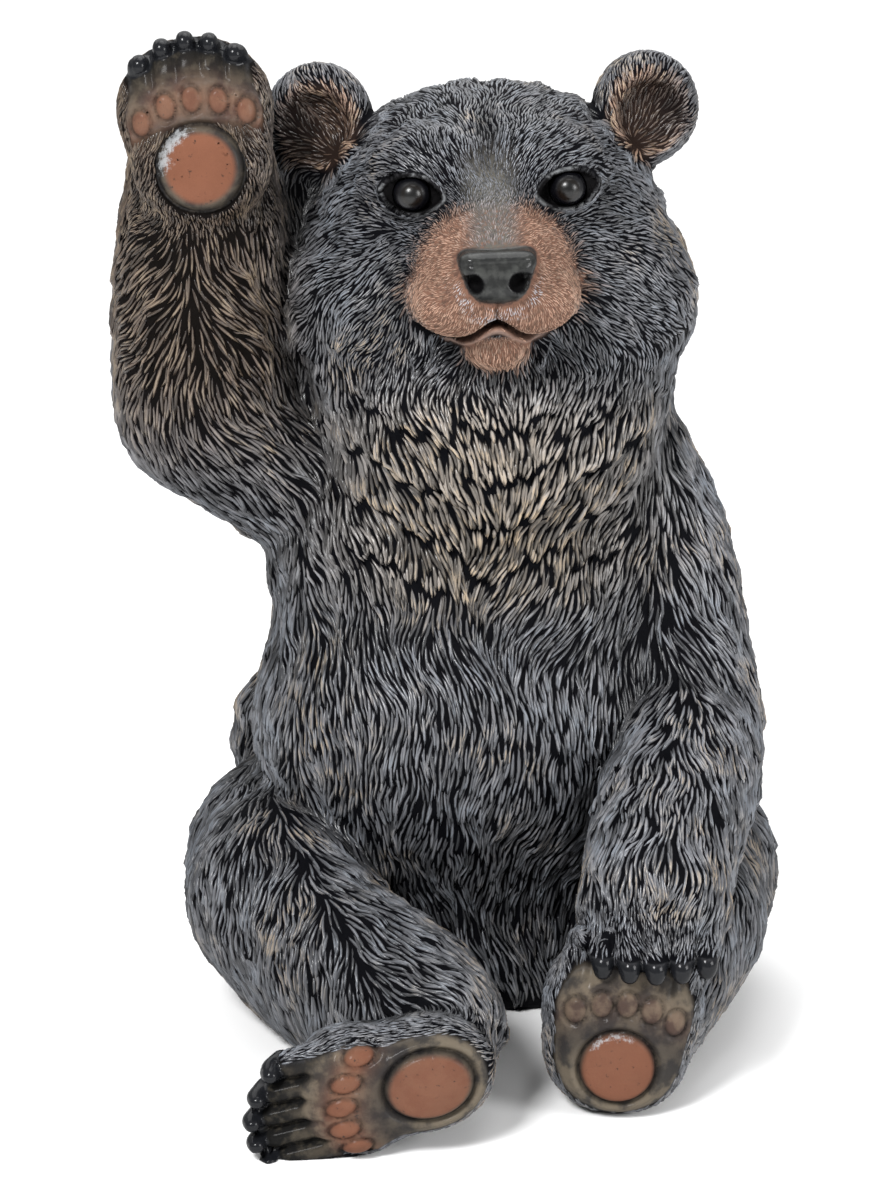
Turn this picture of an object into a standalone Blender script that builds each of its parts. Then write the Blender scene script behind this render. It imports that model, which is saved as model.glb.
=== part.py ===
"""A cast resin figurine of a black bear that sits on the ground and waves.

The bear looks along -Y. Its right arm is up with the palm to the front, and its left paw hangs over
the toes of its left foot. The casting is one solid with a flat underside, and two glass eyes are
pieces of their own, set in sockets. The form is free, so its places and radii are shares of HEIGHT,
in a frame that stands on the ground below the bear. The finished model is then set on the middle of
its own base.
"""

import math

import bmesh
import bpy
import numpy as np
import openvdb
from mathutils import Euler, Matrix, Vector

# Driving sizes, in metres
HEIGHT = 0.320  # from the ground to about the claws of the raised paw
EYE_DIAMETER = 0.0112
EYE_GAP = 0.0003  # all round each eye, where the cement is
TRIANGLES = 8400  # in the casting, before its base and its eye sockets are cut
KEEP_FINE = 0.010  # how strongly the face, pads and toes hold on to their facets

# The grid that the form is read on, as shares of HEIGHT
CELL = 0.0046
BLOCK = 6  # cells along a side of the blocks that are looked at first
LOW = np.array([-0.36, -0.56, -0.03])
HIGH = np.array([0.40, 0.30, 1.03])
FAR = 0.05  # past the longest fillet that joins two limbs

# Pose and proportions, as shares of HEIGHT and in degrees
SPINE = 0.040  # x of the trunk's middle
HEAD = {"at": (0.046, 0.0, 0.800), "turn": (0.0, -2.0, 1.2)}
RAISED_PAW = {"pad": (-0.230, -0.118, 0.876), "turn": (-4, -7, 0), "width": 0.0750, "heel": 0.052,
              "toe_row": 0.066, "tips": 0.106, "depth": 0.066, "pad_radii": (0.042, 0.042),
              "toe_radii": (0.0098, 0.0135), "arc": 0.017, "fan": 0.0255, "slope": 0.0,
              "spread": 0.90, "claw": 0.0134}
RIGHT_FOOT = {"pad": (-0.010, -0.458, 0.075), "turn": (0, -103, 4), "width": 0.063, "heel": 0.060,
              "toe_row": 0.084, "tips": 0.154, "depth": 0.085, "pad_radii": (0.034, 0.043),
              "toe_radii": (0.0092, 0.0155), "arc": 0.0165, "fan": 0.0218, "slope": -0.0055,
              "spread": 0.98, "claw": 0.0120}
LEFT_FOOT = {"pad": (0.168, -0.368, 0.055), "turn": (-4, 8, 0), "width": 0.077, "heel": 0.052,
             "toe_row": 0.063, "tips": 0.116, "depth": 0.090, "pad_radii": (0.037, 0.036),
             "toe_radii": (0.0108, 0.0135), "arc": 0.012, "fan": 0.0240, "slope": 0.0,
             "spread": 1.06, "claw": 0.0120}
HIP_LOCKS = [[(-0.172, 0.062, 0.302, 0.026), (-0.186, 0.066, 0.279, 0.031)],
             [(-0.182, 0.072, 0.264, 0.028), (-0.192, 0.075, 0.243, 0.031), (-0.190, 0.076, 0.230, 0.024)]]
FUR_DEPTH = 0.0060
RUFF_DEPTH = 0.0115


def frame_of(at, turn):
    """The matrix of a frame that stands at a point and is turned by X, Y and Z degrees."""
    return Matrix.Translation(at) @ Euler([math.radians(a) for a in turn]).to_matrix().to_4x4()


def into(points, frame):
    """Points in the coordinates of a frame."""
    inverse = np.array(frame.inverted())
    return points @ inverse[:3, :3].T + inverse[:3, 3]


def mirrored(points):
    """Points with both sides of the middle plane folded onto +X."""
    return np.column_stack([np.abs(points[:, 0]), points[:, 1], points[:, 2]])


def ellipsoid(points, centre, radii, turn=(0, 0, 0)):
    """How far points are outside an ellipsoid, to a good approximation."""
    local = into(points, frame_of(centre, turn)) if any(turn) else points - np.array(centre)
    radii = np.array(radii)
    near = np.linalg.norm(local / radii, axis=1)
    slope = np.linalg.norm(local / radii**2, axis=1)
    return near * (near - 1.0) / np.maximum(slope, 1e-9)


def rod(points, start, end, start_radius, end_radius):
    """How far points are outside a rod with round ends and a straight taper."""
    start, end = np.array(start, float), np.array(end, float)
    along = end - start
    share = np.clip((points - start) @ along / (along @ along), 0.0, 1.0)
    gap = np.linalg.norm(points - start - share[:, None] * along, axis=1)
    return gap - (start_radius + share * (end_radius - start_radius))


def limb(points, stations, steps=4):
    """A bent limb through stations of (x, y, z, radius), on a smooth curve."""
    knots = np.array(stations, float)
    knots = np.vstack([2 * knots[0] - knots[1], knots, 2 * knots[-1] - knots[-2]])
    line = []
    for before, a, b, after in zip(knots, knots[1:], knots[2:], knots[3:]):
        for t in np.arange(steps) / steps:
            line.append(0.5 * (2 * a + (b - before) * t + (2 * before - 5 * a + 4 * b - after) * t**2
                               + (3 * a - before - 3 * b + after) * t**3))
    line.append(knots[-2])
    found = np.full(len(points), np.inf)
    for a, b in zip(line, line[1:]):
        found = np.minimum(found, rod(points, a[:3], b[:3], a[3], b[3]))
    return found


def blend(first, second, soft):
    """Both forms as one, with a fillet of about this size where they meet."""
    overlap = np.maximum(soft - np.abs(first - second), 0.0) / soft
    return np.minimum(first, second) - overlap**3 * soft / 6.0


def carve(form, cut, soft):
    """A form less another, with the edge rounded by about this size."""
    return -blend(-form, cut, soft)


def within(points, centre, reach, form):
    """A form that is worked out only near its place. Elsewhere it counts as far away."""
    outside = np.linalg.norm(points - np.array(centre), axis=1) - reach
    found = np.maximum(outside, 0.0) + FAR
    near = outside < 0.0
    if near.any():
        found[near] = form(points[near])
    return found


def swell(values, middle, width):
    """A smooth bump from 0 to 1 and back round a middle value."""
    return np.exp(-(((values - middle) / width) ** 2))


def ramp(values, start, end):
    """A smooth step from 0 at the start to 1 at the end."""
    share = np.clip((values - start) / (end - start), 0.0, 1.0)
    return share * share * (3.0 - 2.0 * share)


def tufts(along, columns):
    """Height, 0 to 1, of pointed tufts that overlap like shingles in staggered rows.

    Along counts rows, and columns counts tufts side by side.
    """
    columns = columns + 0.22 * np.sin(along * 2.1 + columns * 0.9)
    column = np.floor(columns)
    middle = 1.0 - np.abs(2.0 * (columns - column) - 1.0)
    rows = along + 0.5 * (column % 2) - 0.55 * middle + 0.18 * np.sin(column * 2.4)
    return (rows - np.floor(rows)) * middle**0.6


def combed(form, points, start, end, count, length, depth):
    """A limb's form with tufts that run along its axis, in an even count of columns round it."""
    start, end = np.array(start, float), np.array(end, float)
    axis = (end - start) / np.linalg.norm(end - start)
    side = np.cross(axis, (0.31, 0.87, 0.38))
    side /= np.linalg.norm(side)
    local = points - start
    angle = np.arctan2(local @ np.cross(axis, side), local @ side)
    return form - depth * (tufts(local @ axis / length, angle / (2 * math.pi) * count) - 0.4)


def trunk(points):
    """Chest, belly, back and rump, with locks that hang down and part on the chest."""
    form = ellipsoid(points, (SPINE - 0.008, 0.030, 0.475), (0.212, 0.160, 0.205))
    belly = ellipsoid(points, (SPINE - 0.012, 0.012, 0.285), (0.222, 0.182, 0.195), (8, 0, 0))
    rump = ellipsoid(points, (SPINE + 0.002, 0.072, 0.130), (0.235, 0.180, 0.165))
    form = blend(form, belly, 0.070)
    form = blend(form, rump, 0.080)
    lap = ellipsoid(points, (SPINE + 0.015, -0.022, 0.060), (0.150, 0.092, 0.090))
    form = blend(form, lap, 0.050)
    back = ellipsoid(points, (SPINE, 0.105, 0.480), (0.160, 0.112, 0.170), (-12, 0, 0))
    form = blend(form, back, 0.070)
    x, y, z = points[:, 0] - SPINE, points[:, 1] - 0.03, points[:, 2]
    columns = np.arctan2(x, -y) / (2 * math.pi) * 34
    front = ramp(-y, 0.0, 0.08)
    lines = (-z + 0.42 * np.abs(x) * front * ramp(z, 0.30, 0.45)) / 0.046
    chest = front * ramp(z, 0.42, 0.50)
    depth = FUR_DEPTH + (RUFF_DEPTH - FUR_DEPTH) * chest
    form = form - depth * (tufts(lines, columns) - 0.4)
    for stations in HIP_LOCKS:
        form = blend(form, limb(points, stations), 0.010)
    return form


def tail(points):
    """The short tail, which lies against the rump."""
    return limb(points, [(SPINE, 0.225, 0.130, 0.034), (SPINE, 0.256, 0.085, 0.031),
                         (SPINE, 0.262, 0.048, 0.020)])


def raised_arm(points):
    """The right arm, bent up at the elbow, with the web of fur that joins it to the head."""
    upper = limb(points, [(-0.050, 0.040, 0.515, 0.100), (-0.150, 0.030, 0.560, 0.092),
                          (-0.234, 0.015, 0.622, 0.091)])
    upper = combed(upper, points, (0.0, 0.03, 0.52), (-0.25, 0.03, 0.60), 14, 0.050, FUR_DEPTH)
    fore = limb(points, [(-0.232, 0.015, 0.622, 0.094), (-0.236, -0.004, 0.700, 0.094),
                         (-0.235, -0.022, 0.790, 0.085), (-0.235, -0.036, 0.870, 0.070)])
    fore = combed(fore, points, (-0.24, -0.03, 0.86), (-0.24, 0.01, 0.60), 16, 0.050, FUR_DEPTH)
    web = ellipsoid(points, (-0.148, 0.026, 0.755), (0.046, 0.052, 0.130))
    return blend(blend(upper, fore, 0.030), web, 0.024)


def resting_upper_arm(points):
    """The left arm from shoulder to elbow."""
    form = limb(points, [(0.160, 0.040, 0.560, 0.092), (0.212, 0.026, 0.480, 0.082),
                         (0.238, 0.004, 0.380, 0.078), (0.250, -0.020, 0.300, 0.080)])
    return combed(form, points, (0.17, 0.04, 0.56), (0.25, -0.01, 0.30), 16, 0.052, FUR_DEPTH)


def resting_forearm(points):
    """The left arm from elbow to wrist."""
    form = limb(points, [(0.250, -0.020, 0.300, 0.080), (0.244, -0.110, 0.264, 0.078),
                         (0.222, -0.205, 0.232, 0.075), (0.206, -0.286, 0.200, 0.070)])
    return combed(form, points, (0.26, 0.0, 0.31), (0.20, -0.30, 0.19), 16, 0.050, FUR_DEPTH)


def resting_paw(points):
    """The left paw: five fingers side by side, whose claws hook over the toes of the foot."""
    form = ellipsoid(points, (0.205, -0.304, 0.192), (0.074, 0.054, 0.050), (18, 0, 0))
    for finger in range(-2, 3):
        x = 0.2020 + 0.0245 * finger
        drop = 0.0032 * finger**2
        knuckle = (x, -0.338 + drop, 0.196 - drop)
        tip = (x, -0.374 + 1.2 * drop, 0.164)
        form = blend(form, rod(points, knuckle, tip, 0.0170, 0.0125), 0.006)
        claw = limb(points, [(*tip, 0.0115), (x, -0.384 + 1.2 * drop, 0.152, 0.0105),
                             (x, -0.385 + 1.2 * drop, 0.139, 0.0070)])
        form = blend(form, claw, 0.002)
    return form


def left_leg(points):
    """Thigh and shin of the leg that points to the front, and its flat run along the ground."""
    thigh = limb(points, [(0.215, 0.060, 0.128, 0.122), (0.258, -0.005, 0.128, 0.094),
                          (0.236, -0.120, 0.110, 0.086)])
    thigh = combed(thigh, points, (0.25, 0.10, 0.14), (0.24, -0.14, 0.10), 16, 0.052, FUR_DEPTH)
    shin = limb(points, [(0.236, -0.120, 0.110, 0.088), (0.204, -0.210, 0.092, 0.077),
                         (0.176, -0.282, 0.080, 0.070)])
    shin = combed(shin, points, (0.24, -0.12, 0.10), (0.17, -0.30, 0.08), 14, 0.050, FUR_DEPTH)
    under = limb(points, [(0.225, 0.030, 0.075, 0.080), (0.222, -0.120, 0.072, 0.077),
                          (0.178, -0.280, 0.069, 0.072)])
    return blend(blend(thigh, shin, 0.030), under, 0.030)


def right_leg(points):
    """Thigh and shin of the leg whose knee is turned out, and its run along the ground."""
    thigh = limb(points, [(-0.110, 0.060, 0.124, 0.126), (-0.166, 0.000, 0.140, 0.098),
                          (-0.160, -0.100, 0.128, 0.092)])
    thigh = combed(thigh, points, (-0.14, 0.12, 0.14), (-0.17, -0.14, 0.12), 16, 0.052, FUR_DEPTH)
    shin = limb(points, [(-0.160, -0.100, 0.128, 0.094), (-0.104, -0.205, 0.108, 0.080),
                         (-0.036, -0.290, 0.100, 0.072), (0.004, -0.362, 0.096, 0.058)])
    shin = combed(shin, points, (-0.17, -0.12, 0.12), (0.0, -0.36, 0.09), 14, 0.050, FUR_DEPTH)
    under = limb(points, [(-0.150, 0.020, 0.075, 0.080), (-0.138, -0.110, 0.071, 0.077),
                          (-0.046, -0.285, 0.066, 0.070)])
    return blend(blend(thigh, shin, 0.030), under, 0.030)


def toe_places(paw):
    """Across and along places of the five toes, the outer ones set back on an arc."""
    return [(paw["fan"] * n, -paw["arc"] * (n / 2) ** 2 + paw["slope"] * n) for n in range(-2, 3)]


def sole(points, paw):
    """A paw or foot, seen from its sole: heel, ball, toes, claws and pads.

    In its own frame the main pad's middle is the origin, the sole faces -Y and the toes point to +Z.
    """
    local = into(points, frame_of(paw["pad"], paw["turn"]))
    half, deep = paw["width"], paw["depth"]
    ball = ellipsoid(local, (0, deep * 0.42, paw["toe_row"] * 0.86), (half, deep * 0.60, half * 0.90))
    heel = ellipsoid(local, (0, deep * 0.42, 0.0), (half * 0.88, deep * 0.60, paw["heel"] + 0.004))
    form = blend(ball, heel, 0.040)
    for across, back in toe_places(paw):
        end = across * paw["spread"]
        root = (across * 0.96, deep * 0.30, paw["toe_row"] + back + 0.006)
        tip = (end, deep * 0.28, paw["tips"] + back - 0.006)
        form = blend(form, rod(local, root, tip, 0.0175, 0.0145), 0.006)
        claw = limb(local, [(end, deep * 0.40, paw["tips"] + back + 0.002, paw["claw"]),
                            (end, deep * 0.24, paw["tips"] + back + 0.012, paw["claw"] * 0.92),
                            (end, deep * 0.10, paw["tips"] + back + 0.014, paw["claw"] * 0.62)])
        form = blend(form, claw, 0.003)
    form = carve(form, local[:, 1] + 0.004, 0.014)
    return pads(form, local, paw)


def pads(form, local, paw):
    """The main pad and five toe pads, each a low dome inside a groove."""
    discs = [((0.0, 0.0), paw["pad_radii"], 0.0044, 0.0052)]
    for across, back in toe_places(paw):
        discs.append(((across, paw["toe_row"] + back), paw["toe_radii"], 0.0026, 0.0028))
    on_sole = np.abs(local[:, 1]) < 0.030
    for centre, radii, line, depth in discs:
        out = np.hypot((local[:, 0] - centre[0]) / radii[0], (local[:, 2] - centre[1]) / radii[1])
        groove = swell((out - 1.0) * min(radii), 0.0, line)
        dome = np.sqrt(np.clip(1.0 - out**2, 0.0, 1.0))
        form = form + on_sole * depth * (groove - 0.8 * dome)
    return form


def skull(head):
    """The round of the head with its cheeks, soft brows and the furrow up the forehead."""
    form = ellipsoid(head, (0, 0.012, 0.008), (0.174, 0.158, 0.138))
    side = mirrored(head)
    form = blend(form, ellipsoid(side, (0.102, -0.010, -0.070), (0.106, 0.112, 0.098)), 0.050)
    form = blend(form, ellipsoid(side, (0.056, -0.100, 0.074), (0.056, 0.044, 0.040)), 0.050)
    furrow = swell(head[:, 0], 0.0, 0.011) * ramp(head[:, 2], 0.02, 0.07) * ramp(-head[:, 1], -0.06, 0.02)
    return form + 0.0045 * furrow


def cheek_fur(head, form):
    """Locks that fan out from the face, long on the cheeks and absent on the face itself."""
    x, y, z = head[:, 0], head[:, 1] + 0.10, head[:, 2] + 0.02
    away = np.arctan2(np.hypot(x, z), -y)
    columns = np.arctan2(x, z) / (2 * math.pi) * 30
    depth = FUR_DEPTH * ramp(away, 1.15, 1.55) + 0.4 * FUR_DEPTH * ramp(-z, 0.03, 0.10)
    return form - depth * (tufts(away * 3.4, columns) - 0.4)


def ruff(head):
    """The thick fur under the cheeks and round the neck, in overlapping rows of locks."""
    form = ellipsoid(head, (-0.002, 0.012, -0.150), (0.186, 0.160, 0.112))
    form = blend(form, ellipsoid(head, (0, -0.036, -0.200), (0.158, 0.128, 0.126)), 0.050)
    x, y, z = head[:, 0], head[:, 1] - 0.02, head[:, 2]
    columns = np.arctan2(x, -y) / (2 * math.pi) * 30
    lines = (-z + 0.42 * np.abs(x) * ramp(-y, 0.0, 0.08)) / 0.046
    return form - RUFF_DEPTH * (tufts(lines, columns) - 0.4)


def mouth_height(x):
    """Height of the mouth line: a peak below the nose, a dip each side, corners that rise."""
    return -0.054 - 0.023 * (1.0 - swell(x, 0.0, 0.021)) + 5.5 * np.maximum(np.abs(x) - 0.030, 0) ** 2


def muzzle(head):
    """The snout with its two upper lips, the jaw and the line of the mouth."""
    form = limb(head, [(0, -0.080, -0.004, 0.090), (0, -0.140, -0.014, 0.076),
                       (0, -0.190, -0.020, 0.057)])
    lips = ellipsoid(mirrored(head), (0.033, -0.174, -0.043), (0.044, 0.049, 0.035), (0, 0, 10))
    form = blend(form, lips, 0.022)
    jowls = ellipsoid(mirrored(head), (0.045, -0.138, -0.046), (0.037, 0.044, 0.035), (0, 0, 24))
    form = blend(form, jowls, 0.016)
    jaw = limb(head, [(0, -0.080, -0.066, 0.058), (0, -0.140, -0.079, 0.037),
                      (0, -0.168, -0.081, 0.0275)])
    form = blend(form, jaw, 0.010)
    x, y, z = head.T
    line = swell(z, mouth_height(x), 0.0040) * ramp(-np.abs(x), -0.082, -0.066) * (y < -0.08)
    part = swell(x, 0.0, 0.0030) * ramp(z, -0.055, -0.047) * ramp(-z, 0.026, 0.034) * (y < -0.15)
    return form + 0.011 * line + 0.003 * part


def nose(head):
    """The nose leather, wide at the top, with round nostrils that open to the sides."""
    x, y, z = head.T
    squeezed = np.column_stack([x / (1.0 + 13.0 * (z + 0.008)), y, z])
    form = ellipsoid(squeezed, (0, -0.233, -0.009), (0.0385, 0.0265, 0.0255))
    side = mirrored(head)
    form = carve(form, ellipsoid(side, (0.0215, -0.263, -0.013), (0.0082, 0.0170, 0.0086)), 0.003)
    wing = ellipsoid(side, (0.0375, -0.245, -0.012), (0.0110, 0.0180, 0.0032), (0, 18, 0))
    return carve(form, wing, 0.003)


def eye_place(side):
    """The middle of an eye in the head's frame. Side is -1 for its right eye and 1 for its left."""
    return Vector((0.0745 * side, -0.1370, 0.0570))


def eye_surround(head, form):
    """A hollow round each eye, with lids whose opening ends in two corners."""
    for sign in (-1, 1):
        slant = (0, -9 * sign, 16 * sign)
        local = head - np.array(eye_place(sign))
        form = carve(form, ellipsoid(local, (0, -0.030, -0.002), (0.040, 0.026, 0.026), slant), 0.020)
        lids = ellipsoid(local, (0, 0.002, 0.0), (0.0265, 0.0205, 0.0225), slant)
        form = blend(form, lids, 0.010)
        opening = ellipsoid(local, (0, -0.022, 0), (0.0285, 0.0180, 0.0140), slant)
        form = carve(form, opening, 0.003)
    return form


def ears(head):
    """Two round ears with a hollow in front and a thick rim."""
    side = mirrored(head)
    form = ellipsoid(side, (0.163, 0.022, 0.113), (0.055, 0.034, 0.055), (-6, 0, 20))
    form = blend(form, rod(side, (0.112, 0.026, 0.054), (0.150, 0.024, 0.096), 0.050, 0.038), 0.020)
    hollow = ellipsoid(side, (0.168, -0.010, 0.107), (0.037, 0.028, 0.037), (-6, 0, 20))
    return carve(form, hollow, 0.012)


def head_and_neck(points):
    """The whole head, in its own turned frame."""
    head = into(points, frame_of(**HEAD))
    form = cheek_fur(head, skull(head))
    form = blend(form, ruff(head), 0.036)
    form = blend(form, ears(head), 0.014)
    form = blend(form, muzzle(head), 0.024)
    form = eye_surround(head, form)
    return blend(form, nose(head), 0.003)


def bear(points):
    """How far points are outside the whole bear."""
    form = blend(trunk(points), tail(points), 0.020)
    form = blend(form, within(points, (0.04, -0.03, 0.74), 0.42, head_and_neck), 0.030)
    form = blend(form, within(points, (0.21, 0.01, 0.43), 0.29, resting_upper_arm), 0.034)
    form = blend(form, within(points, (-0.18, 0.0, 0.68), 0.36, raised_arm), 0.016)
    form = blend(form, within(points, (0.22, -0.08, 0.11), 0.38, left_leg), 0.022)
    form = blend(form, within(points, (-0.08, -0.12, 0.12), 0.40, right_leg), 0.018)
    form = blend(form, within(points, (0.23, -0.14, 0.25), 0.28, resting_forearm), 0.010)
    for paw in (LEFT_FOOT, RIGHT_FOOT, RAISED_PAW):
        form = blend(form, within(points, paw["pad"], 0.26, lambda near: sole(near, paw)), 0.012)
    return blend(form, within(points, (0.20, -0.34, 0.17), 0.18, resting_paw), 0.004)


def sample(form):
    """The form on a grid. Only the blocks that its surface may cross are read cell by cell."""
    blocks = np.ceil((HIGH - LOW) / (CELL * BLOCK)).astype(int)
    half = CELL * BLOCK / 2
    index = np.stack(np.meshgrid(*[np.arange(n) for n in blocks], indexing="ij"), -1).reshape(-1, 3)
    far = form(LOW + (index * 2 + 1) * half)
    grid = far.reshape(blocks).repeat(BLOCK, 0).repeat(BLOCK, 1).repeat(BLOCK, 2)
    cells = np.stack(np.meshgrid(*[np.arange(BLOCK)] * 3, indexing="ij"), -1).reshape(-1, 3)
    near = index[np.abs(far) < 2.3 * half]
    places = (near[:, None, :] * BLOCK + cells[None]).reshape(-1, 3)
    grid[tuple(places.T)] = form(LOW + places * CELL)
    return grid


def skin(grid):
    """The zero surface of a grid as a mesh, in metres."""
    volume = openvdb.FloatGrid(1.0)
    volume.copyFromArray(np.ascontiguousarray(grid, np.float32))
    points, quads = volume.convertToQuads(isovalue=0.0)
    mesh = bpy.data.meshes.new("bear")
    mesh.from_pydata(((points * CELL + LOW) * HEIGHT).tolist(), [], quads[:, ::-1].tolist())
    return mesh


def hold_detail(casting):
    """A vertex group that is low where facets have to stay small: the face and the soles."""
    points = np.array([vertex.co for vertex in casting.data.vertices]) / HEIGHT
    face = into(points, frame_of(**HEAD))
    fine = (face[:, 1] < -0.115) & (np.abs(face[:, 0]) < 0.105) & (np.abs(face[:, 2] + 0.015) < 0.10)
    for paw in (RAISED_PAW, RIGHT_FOOT, LEFT_FOOT):
        local = into(points, frame_of(paw["pad"], paw["turn"]))
        fine |= (np.abs(local[:, 0]) < paw["width"]) & (np.abs(local[:, 1]) < 0.03) & (
            local[:, 2] > -paw["heel"]) & (local[:, 2] < paw["tips"] + 0.03)
    group = casting.vertex_groups.new(name="Coarse")
    group.add(list(range(len(points))), 1.0, "REPLACE")
    group.add(np.flatnonzero(fine).tolist(), 0.5, "REPLACE")
    return group


def finish(name, colour, roughness):
    """A resin or glass finish."""
    material = bpy.data.materials.new(name)
    material.use_nodes = True
    shader = material.node_tree.nodes["Principled BSDF"]
    shader.inputs["Base Color"].default_value = (*colour, 1.0)
    shader.inputs["Roughness"].default_value = roughness
    shader.inputs["Metallic"].default_value = 0.0
    return material


def add(name, mesh):
    """A new object that holds a mesh."""
    made = bpy.data.objects.new(name, mesh)
    bpy.context.scene.collection.objects.link(made)
    return made


def ball(name, radius, centre):
    """A round ball at a place in metres."""
    form = bmesh.new()
    bmesh.ops.create_uvsphere(form, u_segments=16, v_segments=10, radius=radius)
    mesh = bpy.data.meshes.new(name)
    form.to_mesh(mesh)
    form.free()
    mesh.shade_smooth()
    made = add(name, mesh)
    made.location = centre
    return made


def block(name, low, high):
    """A box between two corners in metres."""
    form = bmesh.new()
    bmesh.ops.create_cube(form, size=1.0)
    bmesh.ops.scale(form, vec=high - low, verts=form.verts)
    bmesh.ops.translate(form, vec=(low + high) / 2, verts=form.verts)
    mesh = bpy.data.meshes.new(name)
    form.to_mesh(mesh)
    form.free()
    return add(name, mesh)


def cut_away(target, cutter):
    """Take a cutter out of a piece."""
    cutter.hide_render = True
    cutter.display_type = "WIRE"
    change = target.modifiers.new("Cut by " + cutter.name, "BOOLEAN")
    change.operation = "DIFFERENCE"
    change.object = cutter


def settle(target):
    """Give a piece the mesh that its modifiers make, and return it."""
    shown = target.evaluated_get(bpy.context.evaluated_depsgraph_get())
    target.data = bpy.data.meshes.new_from_object(shown)
    target.modifiers.clear()
    return target


def eye_centre(side):
    """The middle of an eye, in metres."""
    return frame_of(**HEAD) @ eye_place(side) * HEIGHT


def main():
    for old in list(bpy.data.objects):
        bpy.data.objects.remove(old)

    casting = add("bear", skin(sample(bear)))
    fewer = casting.modifiers.new("Facets", "DECIMATE")
    fewer.use_collapse_triangulate = True
    fewer.ratio = TRIANGLES / (2 * len(casting.data.polygons))
    fewer.vertex_group = hold_detail(casting).name
    fewer.vertex_group_factor = KEEP_FINE
    low, high = Vector(LOW * HEIGHT), Vector(HIGH * HEIGHT)
    ground = block("ground cutter", low - Vector((0.01, 0.01, 0.05)), Vector((*high.xy, 0.0)))
    sockets = [ball("socket cutter", EYE_DIAMETER / 2 + EYE_GAP, eye_centre(side)) for side in (-1, 1)]
    cutters = [ground, *sockets]
    for cutter in cutters:
        cut_away(casting, cutter)
    bpy.context.view_layer.update()
    settle(casting)
    for cutter in cutters:
        bpy.data.objects.remove(cutter)

    corners = np.array([vertex.co for vertex in casting.data.vertices])
    middle = (corners.min(axis=0) + corners.max(axis=0)) / 2
    home = Vector((-middle[0], -middle[1], 0.0))
    casting.data.transform(Matrix.Translation(home))
    casting.data.materials.clear()
    casting.data.materials.append(finish("Painted resin", (0.030, 0.031, 0.035), 0.45))

    glass = finish("Black glass", (0.008, 0.006, 0.005), 0.05)
    for name, side in (("eye_right", -1), ("eye_left", 1)):
        eye = ball(name, EYE_DIAMETER / 2, eye_centre(side) + home)
        eye.data.materials.append(glass)


if __name__ == "__main__":
    main()
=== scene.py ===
import math

import bmesh
import bpy
import numpy as np
from mathutils import Euler, Matrix, Vector
from mathutils.bvhtree import BVHTree
from mathutils.kdtree import KDTree


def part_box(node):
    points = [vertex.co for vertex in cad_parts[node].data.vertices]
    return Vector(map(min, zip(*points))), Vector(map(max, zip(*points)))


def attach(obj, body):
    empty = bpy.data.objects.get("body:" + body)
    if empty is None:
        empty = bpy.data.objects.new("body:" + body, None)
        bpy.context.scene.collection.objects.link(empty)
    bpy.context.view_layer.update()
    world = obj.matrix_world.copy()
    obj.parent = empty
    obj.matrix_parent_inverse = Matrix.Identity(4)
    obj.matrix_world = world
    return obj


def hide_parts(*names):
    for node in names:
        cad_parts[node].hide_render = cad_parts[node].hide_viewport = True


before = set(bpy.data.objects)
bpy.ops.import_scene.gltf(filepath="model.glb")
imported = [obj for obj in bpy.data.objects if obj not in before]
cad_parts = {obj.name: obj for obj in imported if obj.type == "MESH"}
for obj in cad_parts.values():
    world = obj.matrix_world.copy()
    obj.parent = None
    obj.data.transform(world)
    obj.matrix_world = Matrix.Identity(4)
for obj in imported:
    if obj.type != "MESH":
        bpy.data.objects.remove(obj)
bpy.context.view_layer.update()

# The sculpted form. Places and radii are shares of the bear's height, in a frame that stands on the
# ground below it, so that the finished skin follows the solid casting.
pose = {
    "spine": 0.040,  # x of the trunk's middle
    "headAt": (0.046, 0.0, 0.800),
    "headTurn": (0.0, -2.0, 1.2),  # degrees
    "eye": (0.0745, -0.1370, 0.0570),  # its left eye, from the head's middle
    "socket": 0.01845,  # radius of the socket round each glass eye
    "lids": (0.0282, 0.0166),  # half the width and half the height of the gap between the lids
    "ear": (0.163, 0.0, 0.110),
    "furDepth": 0.0060,  # relief of the large locks
    "ruffDepth": 0.0095,  # and of the locks on the chest
    "far": 0.05,  # gap that is given where a form isn't worked out
}
raisedPaw = {
    "pad": (-0.230, -0.118, 0.876), "turn": (-4, -7, 0), "width": 0.0750, "heel": 0.052,
    "toeRow": 0.066, "tips": 0.106, "depth": 0.066, "padRadii": (0.042, 0.042),
    "toeRadii": (0.0098, 0.0135), "arc": 0.017, "fan": 0.0255, "slope": 0.0, "spread": 0.90, "claw": 0.0134,
    "toePaint": 0.42,  # how much of the main pad's colour is sprayed over its toe pads
    "padPaint": 0.82,  # how far out the main pad's own colour reaches
    "padTone": 1.0,  # and how strong it is
    "padHighlight": (1.0, 0.20),  # how strong the painted highlight on the pad's upper edge is, and how wide
}
rightFoot = {
    "pad": (-0.010, -0.458, 0.075), "turn": (0, -103, 4), "width": 0.063, "heel": 0.060,
    "toeRow": 0.084, "tips": 0.154, "depth": 0.085, "padRadii": (0.034, 0.043),
    "toeRadii": (0.0092, 0.0155), "arc": 0.0165, "fan": 0.0218, "slope": -0.0055, "spread": 0.98,
    "claw": 0.0120, "toePaint": 0.66, "padPaint": 0.90, "padTone": 0.80, "padHighlight": (0.45, 0.13),
}
leftFoot = {
    "pad": (0.168, -0.368, 0.055), "turn": (-4, 8, 0), "width": 0.077, "heel": 0.052,
    "toeRow": 0.063, "tips": 0.116, "depth": 0.090, "padRadii": (0.037, 0.036),
    "toeRadii": (0.0108, 0.0135), "arc": 0.012, "fan": 0.0240, "slope": 0.0, "spread": 1.06, "claw": 0.0120,
    "toePaint": 0.10, "padPaint": 0.95, "padTone": 0.92, "padHighlight": (0.85, 0.13),
}


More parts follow.
